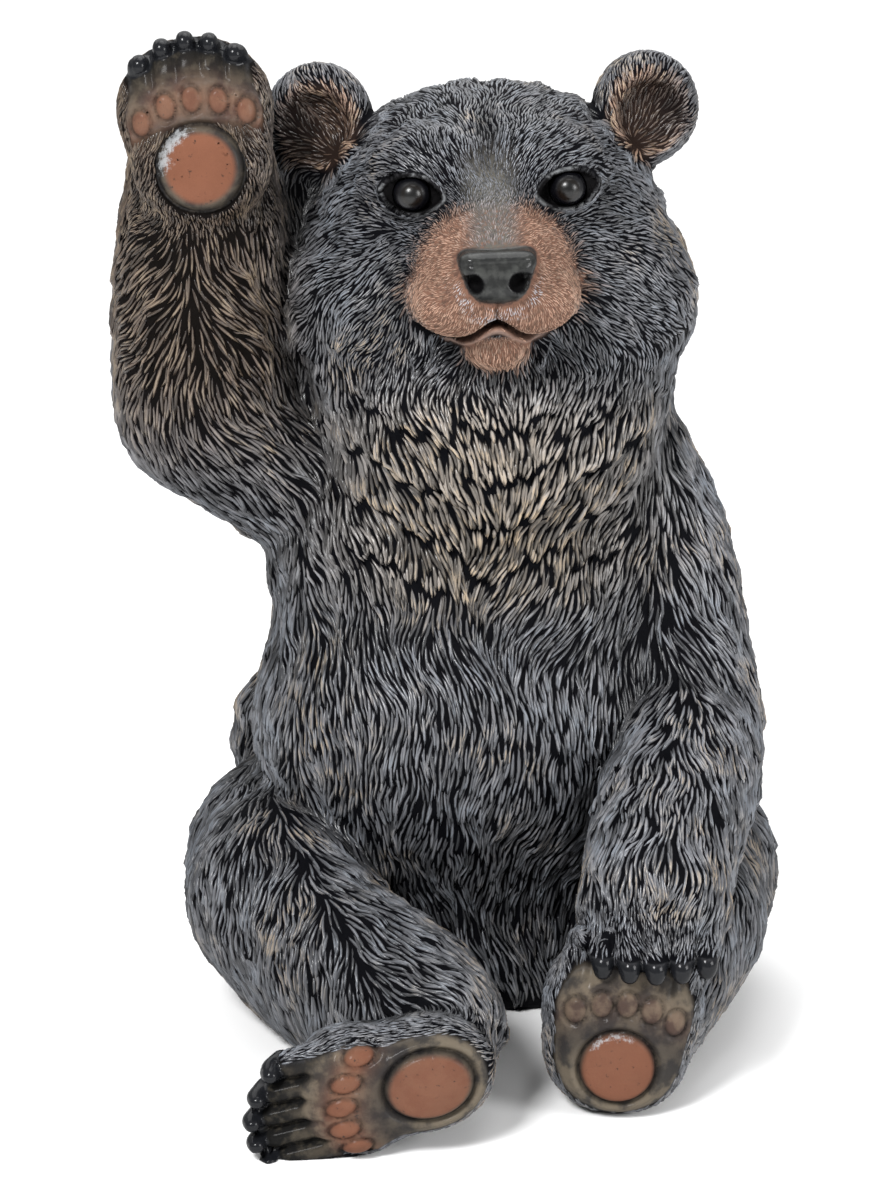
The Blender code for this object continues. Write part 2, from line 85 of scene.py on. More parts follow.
def frameOf(at, turn):
    return Matrix.Translation(at) @ Euler([math.radians(a) for a in turn]).to_matrix().to_4x4()


def into(points, place):
    inverse = np.array(place.inverted())
    return points @ inverse[:3, :3].T + inverse[:3, 3]


def outOf(vectors, place):  # directions of a frame, in the bear's own frame
    return vectors @ np.array(place)[:3, :3].T


headFrame = frameOf(pose["headAt"], pose["headTurn"])


def nodeMiddle(node):
    low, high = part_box(node)
    return (low + high) / 2


# The two glass eyes of the frame give the casting's size and place
eyeGap = nodeMiddle("eye_left") - nodeMiddle("eye_right")
size = eyeGap.length / (2 * pose["eye"][0])
betweenEyes = headFrame @ Vector((0.0, pose["eye"][1], pose["eye"][2]))
home = (nodeMiddle("eye_left") + nodeMiddle("eye_right")) / 2 - betweenEyes * size


def toShares(places):
    return (places - np.array(home)) / size


def toMetres(shares):
    return shares * size + np.array(home)


def mirrored(points):
    return np.column_stack([np.abs(points[:, 0]), points[:, 1], points[:, 2]])


def ellipsoid(points, centre, radii, turn=(0, 0, 0)):
    local = into(points, frameOf(centre, turn)) if any(turn) else points - np.array(centre)
    radii = np.array(radii)
    near = np.linalg.norm(local / radii, axis=1)
    slope = np.linalg.norm(local / radii**2, axis=1)
    return near * (near - 1.0) / np.maximum(slope, 1e-9)


def rod(points, start, end, startRadius, endRadius):
    start, end = np.array(start, float), np.array(end, float)
    along = end - start
    share = np.clip((points - start) @ along / (along @ along), 0.0, 1.0)
    gap = np.linalg.norm(points - start - share[:, None] * along, axis=1)
    return gap - (startRadius + share * (endRadius - startRadius))


def limb(points, stations, steps=4):  # a bent limb through (x, y, z, radius), on a smooth curve
    knots = np.array(stations, float)
    knots = np.vstack([2 * knots[0] - knots[1], knots, 2 * knots[-1] - knots[-2]])
    line = []
    for before, a, b, after in zip(knots, knots[1:], knots[2:], knots[3:]):
        for t in np.arange(steps) / steps:
            line.append(0.5 * (2 * a + (b - before) * t + (2 * before - 5 * a + 4 * b - after) * t**2
                               + (3 * a - before - 3 * b + after) * t**3))
    line.append(knots[-2])
    found = np.full(len(points), np.inf)
    for a, b in zip(line, line[1:]):
        found = np.minimum(found, rod(points, a[:3], b[:3], a[3], b[3]))
    return found


def blend(first, second, soft):
    overlap = np.maximum(soft - np.abs(first - second), 0.0) / soft
    return np.minimum(first, second) - overlap**3 * soft / 6.0


def carve(form, cut, soft):
    return -blend(-form, cut, soft)


def within(points, centre, reach, form):  # a form that is worked out only near its place
    outside = np.linalg.norm(points - np.array(centre), axis=1) - reach
    found = np.maximum(outside, 0.0) + pose["far"]
    near = outside < 0.0
    if near.any():
        found[near] = form(points[near])
    return found


def swell(values, middle, width):
    return np.exp(-(((values - middle) / width) ** 2))


def ramp(values, start, end):
    share = np.clip((values - start) / (end - start), 0.0, 1.0)
    return share * share * (3.0 - 2.0 * share)


def between(values, low, high):
    return (values > low) & (values < high)


def tufts(along, columns):  # pointed locks that overlap like shingles in staggered rows
    columns = columns + 0.22 * np.sin(along * 2.1 + columns * 0.9)
    column = np.floor(columns)
    middle = 1.0 - np.abs(2.0 * (columns - column) - 1.0)
    rows = along + 0.5 * (column % 2) - 0.55 * middle + 0.18 * np.sin(column * 2.4)
    return (rows - np.floor(rows)) * middle**0.6


def combed(form, points, start, end, count, length, depth):
    start, end = np.array(start, float), np.array(end, float)
    axis = (end - start) / np.linalg.norm(end - start)
    side = np.cross(axis, (0.31, 0.87, 0.38))
    side /= np.linalg.norm(side)
    local = points - start
    angle = np.arctan2(local @ np.cross(axis, side), local @ side)
    return form - depth * (tufts(local @ axis / length, angle / (2 * math.pi) * count) - 0.4)


def furred(points, stations, start, end, count, length):
    return combed(limb(points, stations), points, start, end, count, length, pose["furDepth"])


def chestRows(x, y, z):  # V rows of locks, counted down from the throat, and how clearly they show
    rows = (0.627 - z + 0.62 * (np.hypot(x - 0.052, 0.012) - 0.012)) / 0.0505
    for sway, across, down, start in ((0.12, 41, 0, 2.0), (0.11, 97, 14, 0.0), (0.10, 290, 30, 0.0)):
        rows = rows + sway * np.sin(across * x + down * z + start)
    shown = (1.0 - ramp(np.abs(x - 0.050), 0.11, 0.18)) * ramp(z, 0.440, 0.490) * (
        1.0 - ramp(z, 0.640, 0.690)) * ramp(-y, 0.0, 0.06)
    return rows, shown


def hangingLocks(x, y, z, lift, count, place):  # staggered locks, or the chest's rows where those show
    locks = tufts((-z + lift) / 0.046, np.arctan2(x, -y) / (2 * math.pi) * count)
    rows, shown = chestRows(*place)
    return locks + shown * (rows - np.floor(rows) - locks)


hipLocks = [  # two locks that stand out at its right hip
    [(-0.172, 0.062, 0.302, 0.026), (-0.186, 0.066, 0.279, 0.031)],
    [(-0.182, 0.072, 0.264, 0.028), (-0.192, 0.075, 0.243, 0.031), (-0.190, 0.076, 0.230, 0.024)],
]


def trunk(points):
    spine = pose["spine"]
    form = ellipsoid(points, (spine - 0.008, 0.030, 0.475), (0.212, 0.160, 0.205))
    belly = ellipsoid(points, (spine - 0.012, 0.012, 0.285), (0.222, 0.182, 0.195), (8, 0, 0))
    rump = ellipsoid(points, (spine + 0.002, 0.072, 0.130), (0.235, 0.180, 0.165))
    form = blend(form, belly, 0.070)
    form = blend(form, rump, 0.080)
    lap = ellipsoid(points, (spine + 0.015, -0.022, 0.060), (0.150, 0.092, 0.090))
    form = blend(form, lap, 0.050)
    back = ellipsoid(points, (spine, 0.105, 0.480), (0.160, 0.112, 0.170), (-12, 0, 0))
    form = blend(form, back, 0.070)
    x, y, z = points[:, 0] - spine, points[:, 1] - 0.03, points[:, 2]
    front = ramp(-y, 0.0, 0.08)
    depth = pose["furDepth"] + (pose["ruffDepth"] - pose["furDepth"]) * (front * ramp(z, 0.42, 0.50))
    lift = 0.42 * np.abs(x) * front * ramp(z, 0.30, 0.45)
    form = form - depth * (hangingLocks(x, y, z, lift, 34, points.T) - 0.4)
    tail = limb(points, [(spine, 0.225, 0.130, 0.034), (spine, 0.256, 0.085, 0.031),
                         (spine, 0.262, 0.048, 0.020)])
    form = blend(form, tail, 0.020)
    for stations in hipLocks:
        form = blend(form, limb(points, stations), 0.010)
    return form


def raisedArm(points):
    upper = furred(points, [(-0.050, 0.040, 0.515, 0.100), (-0.150, 0.030, 0.560, 0.092),
                            (-0.234, 0.015, 0.622, 0.091)], (0.0, 0.03, 0.52), (-0.25, 0.03, 0.60), 14, 0.050)
    fore = furred(points, [(-0.232, 0.015, 0.622, 0.094), (-0.236, -0.004, 0.700, 0.094),
                           (-0.235, -0.022, 0.790, 0.085), (-0.235, -0.036, 0.870, 0.070)],
                  (-0.24, -0.03, 0.86), (-0.24, 0.01, 0.60), 16, 0.050)
    web = ellipsoid(points, (-0.148, 0.026, 0.755), (0.046, 0.052, 0.130))
    return blend(blend(upper, fore, 0.030), web, 0.024)


def restingUpperArm(points):
    return furred(points, [(0.160, 0.040, 0.560, 0.092), (0.212, 0.026, 0.480, 0.082),
                           (0.238, 0.004, 0.380, 0.078), (0.250, -0.020, 0.300, 0.080)],
                  (0.17, 0.04, 0.56), (0.25, -0.01, 0.30), 16, 0.052)


def restingForearm(points):
    return furred(points, [(0.250, -0.020, 0.300, 0.080), (0.244, -0.110, 0.264, 0.078),
                           (0.222, -0.205, 0.232, 0.075), (0.206, -0.286, 0.200, 0.070)],
                  (0.26, 0.0, 0.31), (0.20, -0.30, 0.19), 16, 0.050)


def fingerPlaces():  # knuckle and tip of each finger of the resting paw, and how far back it lies
    for finger in range(-2, 3):
        x = 0.2020 + 0.0245 * finger
        drop = 0.0032 * finger**2
        yield (x, -0.338 + drop, 0.196 - drop), (x, -0.374 + 1.2 * drop, 0.164), drop


def fingerClaw(points, tip, drop):
    x = tip[0]
    return limb(points, [(*tip, 0.0112), (x, -0.382 + 1.2 * drop, 0.159, 0.0106),
                         (x, -0.383 + 1.2 * drop, 0.153, 0.0086)])


def restingPaw(points):
    form = ellipsoid(points, (0.205, -0.304, 0.192), (0.074, 0.054, 0.050), (18, 0, 0))
    for knuckle, tip, drop in fingerPlaces():
        form = blend(form, rod(points, knuckle, tip, 0.0170, 0.0125), 0.006)
        form = blend(form, fingerClaw(points, tip, drop), 0.002)
    return form


def leg(points, thigh, thighEnds, shin, shinEnds, under):
    upper = furred(points, thigh, *thighEnds, 16, 0.052)
    lower = furred(points, shin, *shinEnds, 14, 0.050)
    return blend(blend(upper, lower, 0.030), limb(points, under), 0.030)


def leftLeg(points):
    return leg(
        points,
        [(0.215, 0.060, 0.128, 0.122), (0.258, -0.005, 0.128, 0.094), (0.236, -0.120, 0.110, 0.086)],
        [(0.25, 0.10, 0.14), (0.24, -0.14, 0.10)],
        [(0.236, -0.120, 0.110, 0.088), (0.204, -0.210, 0.092, 0.077), (0.176, -0.282, 0.080, 0.070)],
        [(0.24, -0.12, 0.10), (0.17, -0.30, 0.08)],
        [(0.225, 0.030, 0.075, 0.080), (0.222, -0.120, 0.072, 0.077), (0.178, -0.280, 0.069, 0.072)])


def rightLeg(points):
    return leg(
        points,
        [(-0.110, 0.060, 0.124, 0.126), (-0.166, 0.000, 0.140, 0.098), (-0.160, -0.100, 0.128, 0.092)],
        [(-0.14, 0.12, 0.14), (-0.17, -0.14, 0.12)],
        [(-0.160, -0.100, 0.128, 0.094), (-0.104, -0.205, 0.108, 0.080), (-0.036, -0.290, 0.100, 0.072),
         (0.004, -0.362, 0.096, 0.058)],
        [(-0.17, -0.12, 0.12), (0.0, -0.36, 0.09)],
        [(-0.150, 0.020, 0.075, 0.080), (-0.138, -0.110, 0.071, 0.077), (-0.046, -0.285, 0.066, 0.070)])


def toePlaces(paw):  # across and along places of the five toes, the outer ones set back
    return [(paw["fan"] * n, -paw["arc"] * (n / 2) ** 2 + paw["slope"] * n) for n in range(-2, 3)]


def toeClaw(local, paw, across, back):
    x, claw = across * paw["spread"], paw["claw"]
    return limb(local, [(x, paw["depth"] * 0.40, paw["tips"] + back + 0.002, claw),
                        (x, paw["depth"] * 0.24, paw["tips"] + back + 0.012, claw * 0.92),
                        (x, paw["depth"] * 0.10, paw["tips"] + back + 0.014, claw * 0.62)])


def pawLocal(points, paw):  # main pad at the origin, sole facing -Y, toes up +Z
    return into(points, frameOf(paw["pad"], paw["turn"]))


def padDiscs(paw):  # centre, radii, groove width, groove depth and dome height of each pad
    discs = [((0.0, 0.0), paw["padRadii"], 0.0030, 0.0056, 0.0040)]
    for across, back in toePlaces(paw):
        discs.append(((across, paw["toeRow"] + back), paw["toeRadii"], 0.0018, 0.0030, 0.0022))
    return discs


def discShare(local, centre, radii):
    return np.hypot((local[:, 0] - centre[0]) / radii[0], (local[:, 2] - centre[1]) / radii[1])


def abovePads(local, paw):  # height over the curved row of toe pads
    return local[:, 2] - paw["toeRow"] + paw["arc"] * (local[:, 0] / paw["fan"] / 2) ** 2


def fingerReach(local, paw):  # the bare fingers between the toe pads and the claws
    return ramp(abovePads(local, paw), 0.017, 0.024) * (
        1.0 - ramp(local[:, 1], paw["depth"] * 0.30, paw["depth"] * 0.42))


def pawBox(local, paw, margin, deep, low):  # points beside or a little behind the sole
    return (np.abs(local[:, 0]) < paw["width"] + margin) & between(local[:, 1], -0.03, deep) & between(
        local[:, 2], low, paw["tips"] + 0.03)


def sole(points, paw):
    local = pawLocal(points, paw)
    half, deep = paw["width"], paw["depth"]
    ball = ellipsoid(local, (0, deep * 0.42, paw["toeRow"] * 0.86), (half, deep * 0.60, half * 0.90))
    heel = ellipsoid(local, (0, deep * 0.42, 0.0), (half * 0.88, deep * 0.60, paw["heel"] + 0.004))
    form = blend(ball, heel, 0.040)
    for across, back in toePlaces(paw):
        root = (across * 0.96, deep * 0.30, paw["toeRow"] + back + 0.006)
        tip = (across * paw["spread"], deep * 0.28, paw["tips"] + back - 0.006)
        form = blend(form, rod(local, root, tip, 0.0175, 0.0145), 0.004)
        form = blend(form, toeClaw(local, paw, across, back), 0.002)
    column = local[:, 0] / (paw["fan"] * paw["spread"])
    gaps = swell(np.abs(column - np.round(column)), 0.5, 0.17) * (np.abs(column) < 2.3)
    form = form + 0.0042 * gaps * fingerReach(local, paw)
    form = carve(form, local[:, 1] + 0.004, 0.014)
    onSole = np.abs(local[:, 1]) < 0.030
    for centre, radii, line, groove, dome in padDiscs(paw):
        out = discShare(local, centre, radii)
        cut = swell((out - 1.0) * min(radii), 0.0, line)
        rim = swell((out - 1.0) * min(radii), 2.4 * line, line)
        form = form + onSole * (groove * cut - 0.25 * groove * rim
                                - dome * np.sqrt(np.clip(1.0 - out**2, 0.0, 1.0)))
    return form


def skull(head):
    form = ellipsoid(head, (0, 0.012, 0.008), (0.174, 0.158, 0.138))
    side = mirrored(head)
    form = blend(form, ellipsoid(side, (0.102, -0.010, -0.070), (0.106, 0.112, 0.098)), 0.050)
    form = blend(form, ellipsoid(side, (0.056, -0.100, 0.074), (0.056, 0.044, 0.040)), 0.050)
    furrow = swell(head[:, 0], 0.0, 0.011) * ramp(head[:, 2], 0.02, 0.07) * ramp(-head[:, 1], -0.06, 0.02)
    return form + 0.0045 * furrow


def cheekFur(head, form):
    x, y, z = head[:, 0], head[:, 1] + 0.10, head[:, 2] + 0.02
    away = np.arctan2(np.hypot(x, z), -y)
    columns = np.arctan2(x, z) / (2 * math.pi) * 30
    depth = pose["furDepth"] * (ramp(away, 1.15, 1.55) + 0.4 * ramp(-z, 0.03, 0.10))
    return form - depth * (tufts(away * 3.4, columns) - 0.4)


def ruff(head):
    form = ellipsoid(head, (-0.002, 0.012, -0.150), (0.186, 0.160, 0.112))
    form = blend(form, ellipsoid(head, (0, -0.036, -0.200), (0.158, 0.128, 0.126)), 0.050)
    x, y, z = head[:, 0], head[:, 1] - 0.02, head[:, 2]
    lift = 0.42 * np.abs(x) * ramp(-y, 0.0, 0.08)
    place = (x + pose["headAt"][0], head[:, 1], z + pose["headAt"][2])
    return form - pose["ruffDepth"] * (hangingLocks(x, y, z, lift, 30, place) - 0.4)


def mouthHeight(x):  # a peak below the nose, a dip each side, corners that rise
    return -0.054 - 0.023 * (1.0 - swell(x, 0.0, 0.021)) + 5.5 * np.maximum(np.abs(x) - 0.030, 0) ** 2


def muzzle(head):
    form = limb(head, [(0, -0.080, -0.004, 0.090), (0, -0.140, -0.014, 0.076),
                       (0, -0.190, -0.020, 0.057)])
    lips = ellipsoid(mirrored(head), (0.033, -0.174, -0.043), (0.044, 0.049, 0.035), (0, 0, 10))
    form = blend(form, lips, 0.022)
    jowls = ellipsoid(mirrored(head), (0.045, -0.138, -0.046), (0.037, 0.044, 0.035), (0, 0, 24))
    form = blend(form, jowls, 0.016)
    jaw = limb(head, [(0, -0.080, -0.066, 0.058), (0, -0.140, -0.079, 0.037),
                      (0, -0.168, -0.081, 0.0275)])
    form = blend(form, jaw, 0.008)
    x, y, z = head.T
    above = z - mouthHeight(x)
    inMouth = ramp(-np.abs(x), -0.080, -0.068) * (y < -0.08)
    line = swell(above, 0.0, 0.0036)
    lip = swell(above, -0.0075, 0.0034) * ramp(-np.abs(x), -0.050, -0.030)
    part = swell(x, 0.0, 0.0022) * ramp(z, -0.055, -0.047) * ramp(-z, 0.026, 0.034) * (y < -0.15)
    return form + (0.015 * line - 0.0022 * lip) * inMouth + 0.004 * part


def nostrils(side):  # the round openings, and the slits that sweep out from them
    hole = ellipsoid(side, (0.0208, -0.262, -0.0125), (0.0088, 0.0200, 0.0092), (0, 20, 0))
    slit = ellipsoid(side, (0.0345, -0.252, -0.0105), (0.0130, 0.0160, 0.0030), (0, 24, 0))
    return hole, slit


def nose(head):
    x, y, z = head.T
    squeezed = np.column_stack([(x - 0.002) / (0.95 + 10.0 * np.clip(z + 0.006, -0.03, 0.02)), y, z])
    box = np.abs(squeezed - np.array((0, -0.232, -0.0075))) - np.array((0.0205, 0.0125, 0.0090))
    form = np.linalg.norm(np.maximum(box, 0), axis=1) + np.minimum(box.max(axis=1), 0) - 0.0142
    form = blend(form, ellipsoid(squeezed, (0, -0.236, -0.018), (0.0240, 0.0200, 0.0150)), 0.008)
    front = ramp(-y, 0.225, 0.240)
    shelf = swell(z, 0.0098, 0.0022) - 0.9 * swell(z, 0.0055, 0.0026)
    form = form - 0.0016 * front * shelf * ramp(-np.abs(x), -0.036, -0.026)
    for opening in nostrils(mirrored(head)):
        form = carve(form, opening, 0.003)
    return form


def lidGap(local, sign):  # how far points are outside the almond between the lids, seen from the front
    turned = into(local, frameOf((0, 0, 0), (0, -9 * sign, 0)))
    half, tall = pose["lids"]
    radius = (half**2 + tall**2) / (2 * tall)
    x, z = turned[:, 0], turned[:, 2] - 0.0005
    offset = radius - tall
    return np.maximum(np.hypot(x, z - offset), np.hypot(x, z + offset)) - radius


def eyeSurround(head, form):
    eye = np.array(pose["eye"])
    for sign in (-1, 1):
        slant = (0, -9 * sign, 16 * sign)
        local = head - eye * (sign, 1, 1)
        form = carve(form, ellipsoid(local, (0, -0.030, -0.002), (0.042, 0.026, 0.028), slant), 0.020)
        lids = ellipsoid(local, (0, 0.004, 0.001), (0.0345, 0.0245, 0.0250), slant)
        form = blend(form, lids, 0.008)
        gap = lidGap(local, sign)
        crease = swell(gap, 0.0070, 0.0016) + 0.8 * swell(gap, 0.0125, 0.0022)
        form = form + 0.0016 * crease * ramp(local[:, 2], -0.004, 0.006)
        opening = np.maximum(gap, local[:, 1] + 0.0015)
        form = carve(form, opening, 0.0016)
        form = np.maximum(form, pose["socket"] - np.linalg.norm(local, axis=1))
    return form


def ears(head):
    side = mirrored(head)
    form = ellipsoid(side, (0.163, 0.022, 0.113), (0.055, 0.034, 0.055), (-6, 0, 20))
    form = blend(form, rod(side, (0.112, 0.026, 0.054), (0.150, 0.024, 0.096), 0.050, 0.038), 0.020)
    hollow = ellipsoid(side, (0.168, -0.010, 0.107), (0.037, 0.028, 0.037), (-6, 0, 20))
    return carve(form, hollow, 0.012)


def headAndNeck(points):
    head = into(points, headFrame)
    form = cheekFur(head, skull(head))
    form = blend(form, ruff(head), 0.036)
    form = blend(form, ears(head), 0.014)
    form = blend(form, muzzle(head), 0.024)
    form = eyeSurround(head, form)
    return blend(form, nose(head), 0.003)


# Name, middle, reach, form and the fillet that joins it to the rest
limbs = [
    ("head", (0.04, -0.03, 0.74), 0.42, headAndNeck, 0.030),
    ("upperArm", (0.21, 0.01, 0.43), 0.29, restingUpperArm, 0.034),
    ("raisedArm", (-0.18, 0.0, 0.68), 0.36, raisedArm, 0.016),
    ("leftLeg", (0.22, -0.08, 0.11), 0.38, leftLeg, 0.022),
    ("rightLeg", (-0.08, -0.12, 0.12), 0.40, rightLeg, 0.018),
    ("forearm", (0.23, -0.14, 0.25), 0.28, restingForearm, 0.010),
    ("leftFoot", leftFoot["pad"], 0.26, lambda near: sole(near, leftFoot), 0.012),
    ("rightFoot", rightFoot["pad"], 0.26, lambda near: sole(near, rightFoot), 0.012),
    ("raisedPaw", raisedPaw["pad"], 0.26, lambda near: sole(near, raisedPaw), 0.012),
    ("restingPaw", (0.20, -0.34, 0.17), 0.18, restingPaw, 0.004),
]


def bear(points):
    form = trunk(points)
    for _, middle, reach, shape, fillet in limbs:
        form = blend(form, within(points, middle, reach, shape), fillet)
    return form


# The casting: a merged copy of the solid, with finer facets that settle on the sculpted form
castingLook = {
    "plainEdge": 0.0034,  # goal for a facet's edge in metres, under the fur
    "earEdge": 0.0016,
    "pawEdge": 0.00085,
    "faceEdge": 0.00085,
    "eyeEdge": 0.00050,
    "tooLong": 1.4,  # times its goal, past which an edge is split
    "rounds": 5,
    "relax": 0.4,
    "flatBelow": 0.0002,  # height in metres below which the underside stays as it is
    "splitAbove": 0.0003,
    "relaxAbove": 0.0008,
    "probe": 0.0006,  # step in which the form's slope is measured, as a share of the height
    "farthest": 0.005,  # move of a corner in one round
    "evenRounds": 26,  # how wide the surroundings are that hollows are measured against
    "hollow": (-0.0004, 0.0010),  # metres below them where a hollow starts and is full
}


def edgeGoal(points):  # how long a facet's edge may be, in metres
    look = castingLook
    goal = np.full(len(points), look["plainEdge"])
    head = into(points, headFrame)
    side = mirrored(head)
    goal[np.linalg.norm(side - pose["ear"], axis=1) < 0.066] = look["earEdge"]
    face = (head[:, 1] < -0.09) & (side[:, 0] < 0.105) & (np.abs(head[:, 2] + 0.020) < 0.105)
    goal[face] = look["faceEdge"]
    eye = np.linalg.norm(side - np.array(pose["eye"]), axis=1) < 0.034
    goal[eye] = look["eyeEdge"]
    for paw in (raisedPaw, rightFoot, leftFoot):
        local = pawLocal(points, paw)
        flat = pawBox(local, paw, 0.004, 0.020, -paw["heel"] - 0.004)
        goal[flat | pawBox(local, paw, 0.004, paw["depth"], paw["toeRow"])] = look["pawEdge"]
    hand = np.linalg.norm(points - (0.202, -0.362, 0.165), axis=1) < 0.066
    goal[hand] = look["pawEdge"]
    return goal


def tableOf(items, key, width, kind=float):
    values = np.empty(len(items) * width, kind)
    items.foreach_get(key, values)
    return values.reshape(-1, width)


def cornersOf(mesh):
    return tableOf(mesh.vertices, "co", 3)


def settleOnForm(mesh, rounds):
    places = cornersOf(mesh)
    free = places[:, 2] > castingLook["flatBelow"]
    shares = toShares(places[free])
    step = castingLook["probe"]
    for _ in range(rounds):
        value = bear(shares)
        slope = np.column_stack([bear(shares + np.eye(3)[axis] * step) - value for axis in range(3)]) / step
        move = value[:, None] * slope / np.maximum((slope**2).sum(axis=1), 0.2)[:, None]
        length = np.linalg.norm(move, axis=1)
        shares -= move * np.minimum(1.0, castingLook["farthest"] / np.maximum(length, 1e-9))[:, None]
    settled = toMetres(shares)
    settled[:, 2] = np.maximum(settled[:, 2], 0.0)
    places[free] = settled
    mesh.vertices.foreach_set("co", places.ravel())
    mesh.update()


def startFrom(node, name):  # a merged copy of a CAD node, alone selected
    bpy.ops.object.select_all(action="DESELECT")
    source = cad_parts[node]
    piece = source.copy()
    piece.data = source.data.copy()
    piece.name = name
    piece.parent = None
    for key in list(piece.keys()):
        del piece[key]
    bpy.context.scene.collection.objects.link(piece)
    bpy.context.view_layer.objects.active = piece
    piece.select_set(True)
    bpy.ops.object.mode_set(mode="EDIT")
    bpy.ops.mesh.select_all(action="SELECT")
    bpy.ops.mesh.remove_doubles(threshold=0.000002)
    bpy.ops.object.mode_set(mode="OBJECT")
    return piece


def editPicked(mesh, kind, picked):  # edit mode, with the picked edges or corners selected
    bpy.ops.object.mode_set(mode="EDIT")
    bpy.ops.mesh.select_mode(type=kind)
    bpy.ops.mesh.select_all(action="DESELECT")
    form = bmesh.from_edit_mesh(mesh)
    parts = form.edges if kind == "EDGE" else form.verts
    parts.ensure_lookup_table()
    for index in np.flatnonzero(picked):
        parts[index].select_set(True)
    bmesh.update_edit_mesh(mesh)


def splitLongEdges(piece):
    mesh = piece.data
    places = cornersOf(mesh)
    ends = places[tableOf(mesh.edges, "vertices", 2, int)]
    length = np.linalg.norm(ends[:, 0] - ends[:, 1], axis=1)
    middle = ends.mean(axis=1)
    picked = length > castingLook["tooLong"] * edgeGoal(toShares(middle))
    picked &= middle[:, 2] > castingLook["splitAbove"]
    editPicked(mesh, "EDGE", picked)
    bpy.ops.mesh.subdivide(number_cuts=1)
    bpy.ops.mesh.select_all(action="SELECT")
    bpy.ops.mesh.quads_convert_to_tris(quad_method="BEAUTY", ngon_method="BEAUTY")
    bpy.ops.object.mode_set(mode="OBJECT")
    return int(picked.sum())


def evenOut(piece, repeat):  # relax the facets, away from the ground
    editPicked(piece.data, "VERT", cornersOf(piece.data)[:, 2] > castingLook["relaxAbove"])
    bpy.ops.mesh.vertices_smooth(factor=castingLook["relax"], repeat=repeat)
    bpy.ops.object.mode_set(mode="OBJECT")


def makeCasting():
    piece = startFrom("bear", "casting")
    for step in range(castingLook["rounds"]):
        count = splitLongEdges(piece)
        evenOut(piece, 1)
        settleOnForm(piece.data, 1)
        print("casting: round", step + 1, "split", count, "edges, facets", len(piece.data.polygons))
    settleOnForm(piece.data, 2)
    piece.data.shade_smooth()
    return piece


# Paint: where each colour of the figure lies, as masks from 0 to 1
def cover(masks, name, amount):
    masks[name] = np.maximum(masks.get(name, 0.0), amount)


def paintMasks(points):
    head = into(points, headFrame)
    x, y, z = head.T
    side = mirrored(head)
    front = ramp(-y, 0.075, 0.105)
    lobes = np.hypot((x - 0.003) / (0.081 + 0.015 * ramp(-z, 0.010, 0.045)), (z + 0.020) / 0.074)
    chin = np.hypot((x - 0.002) / 0.036, (z + 0.091) / 0.0225)
    upper = (1.0 - ramp(lobes, 0.72, 1.16)) * ramp(z - mouthHeight(x), -0.012, -0.003)
    masks = {"muzzle": np.maximum(upper, 1.0 - ramp(chin, 0.70, 1.15)) * front}
    masks["bridge"] = (1.0 - ramp(side[:, 0], 0.010, 0.034)) * ramp(z, -0.004, 0.010) * front * (
        1.0 - ramp(z, 0.070, 0.110)) * (y < -0.07)
    noseGap = within(head, (0, -0.235, -0.010), 0.08, nose)
    masks["nose"] = 1.0 - ramp(noseGap, 0.0004, 0.0020)
    hole, slit = nostrils(side)
    masks["nostril"] = np.maximum(1.0 - ramp(hole, -0.0004, 0.0012), 0.8 - 0.8 * ramp(slit, -0.0004, 0.0010))
    masks["frost"] = ramp(noseGap, 0.001, 0.003) * (1.0 - ramp(noseGap, 0.013, 0.025)) * ramp(
        -z, 0.004, 0.018) * (y < -0.17) * ramp(z, -0.060, -0.046)
    lip = z - mouthHeight(x)
    across = ramp(-side[:, 0], -0.082, -0.070) * (y < -0.08)
    masks["mouth"] = swell(lip, 0.0, 0.0046) * across
    masks["lip"] = swell(lip, -0.0085, 0.0030) * ramp(-side[:, 0], -0.058, -0.040) * (y < -0.10)
    for sign in (-1, 1):
        local = head - np.array(pose["eye"]) * (sign, 1, 1)
        near = (np.linalg.norm(local, axis=1) < 0.045) & (local[:, 1] < 0.02)
        gap = lidGap(local, sign)
        # dark round the glass eye: dark paint with painted shadow of the lids
        cover(masks, "lids", near * (1.0 - ramp(gap, 0.0022, 0.0052)))
        cover(masks, "rim", near * swell(gap, 0.0030, 0.0013))
    inner = ellipsoid(side, (0.167, -0.014, 0.108), (0.044, 0.036, 0.044))
    masks["ear"] = 1.0 - ramp(inner, -0.006, 0.004)
    for paw in (raisedPaw, rightFoot, leftFoot):
        paintPaw(points, paw, masks)
    for _, tip, drop in fingerPlaces():
        gap = within(points, (tip[0], -0.385, 0.150), 0.06, lambda near: fingerClaw(near, tip, drop))
        cover(masks, "claw", (1.0 - ramp(gap, 0.0006, 0.0020)) * (1.0 - ramp(points[:, 2], 0.164, 0.169)))
    x, y, z = points.T
    masks["tan"] = swell(x, pose["spine"] + 0.005, 0.140) * ramp(z, 0.430, 0.500) * (
        1.0 - ramp(z, 0.625, 0.700)) * ramp(-y, 0.0, 0.06)
    masks["brown"] = ramp(-x, 0.10, 0.20) * ramp(z, 0.52, 0.70) * ramp(-y, -0.02, 0.06)
    return masks


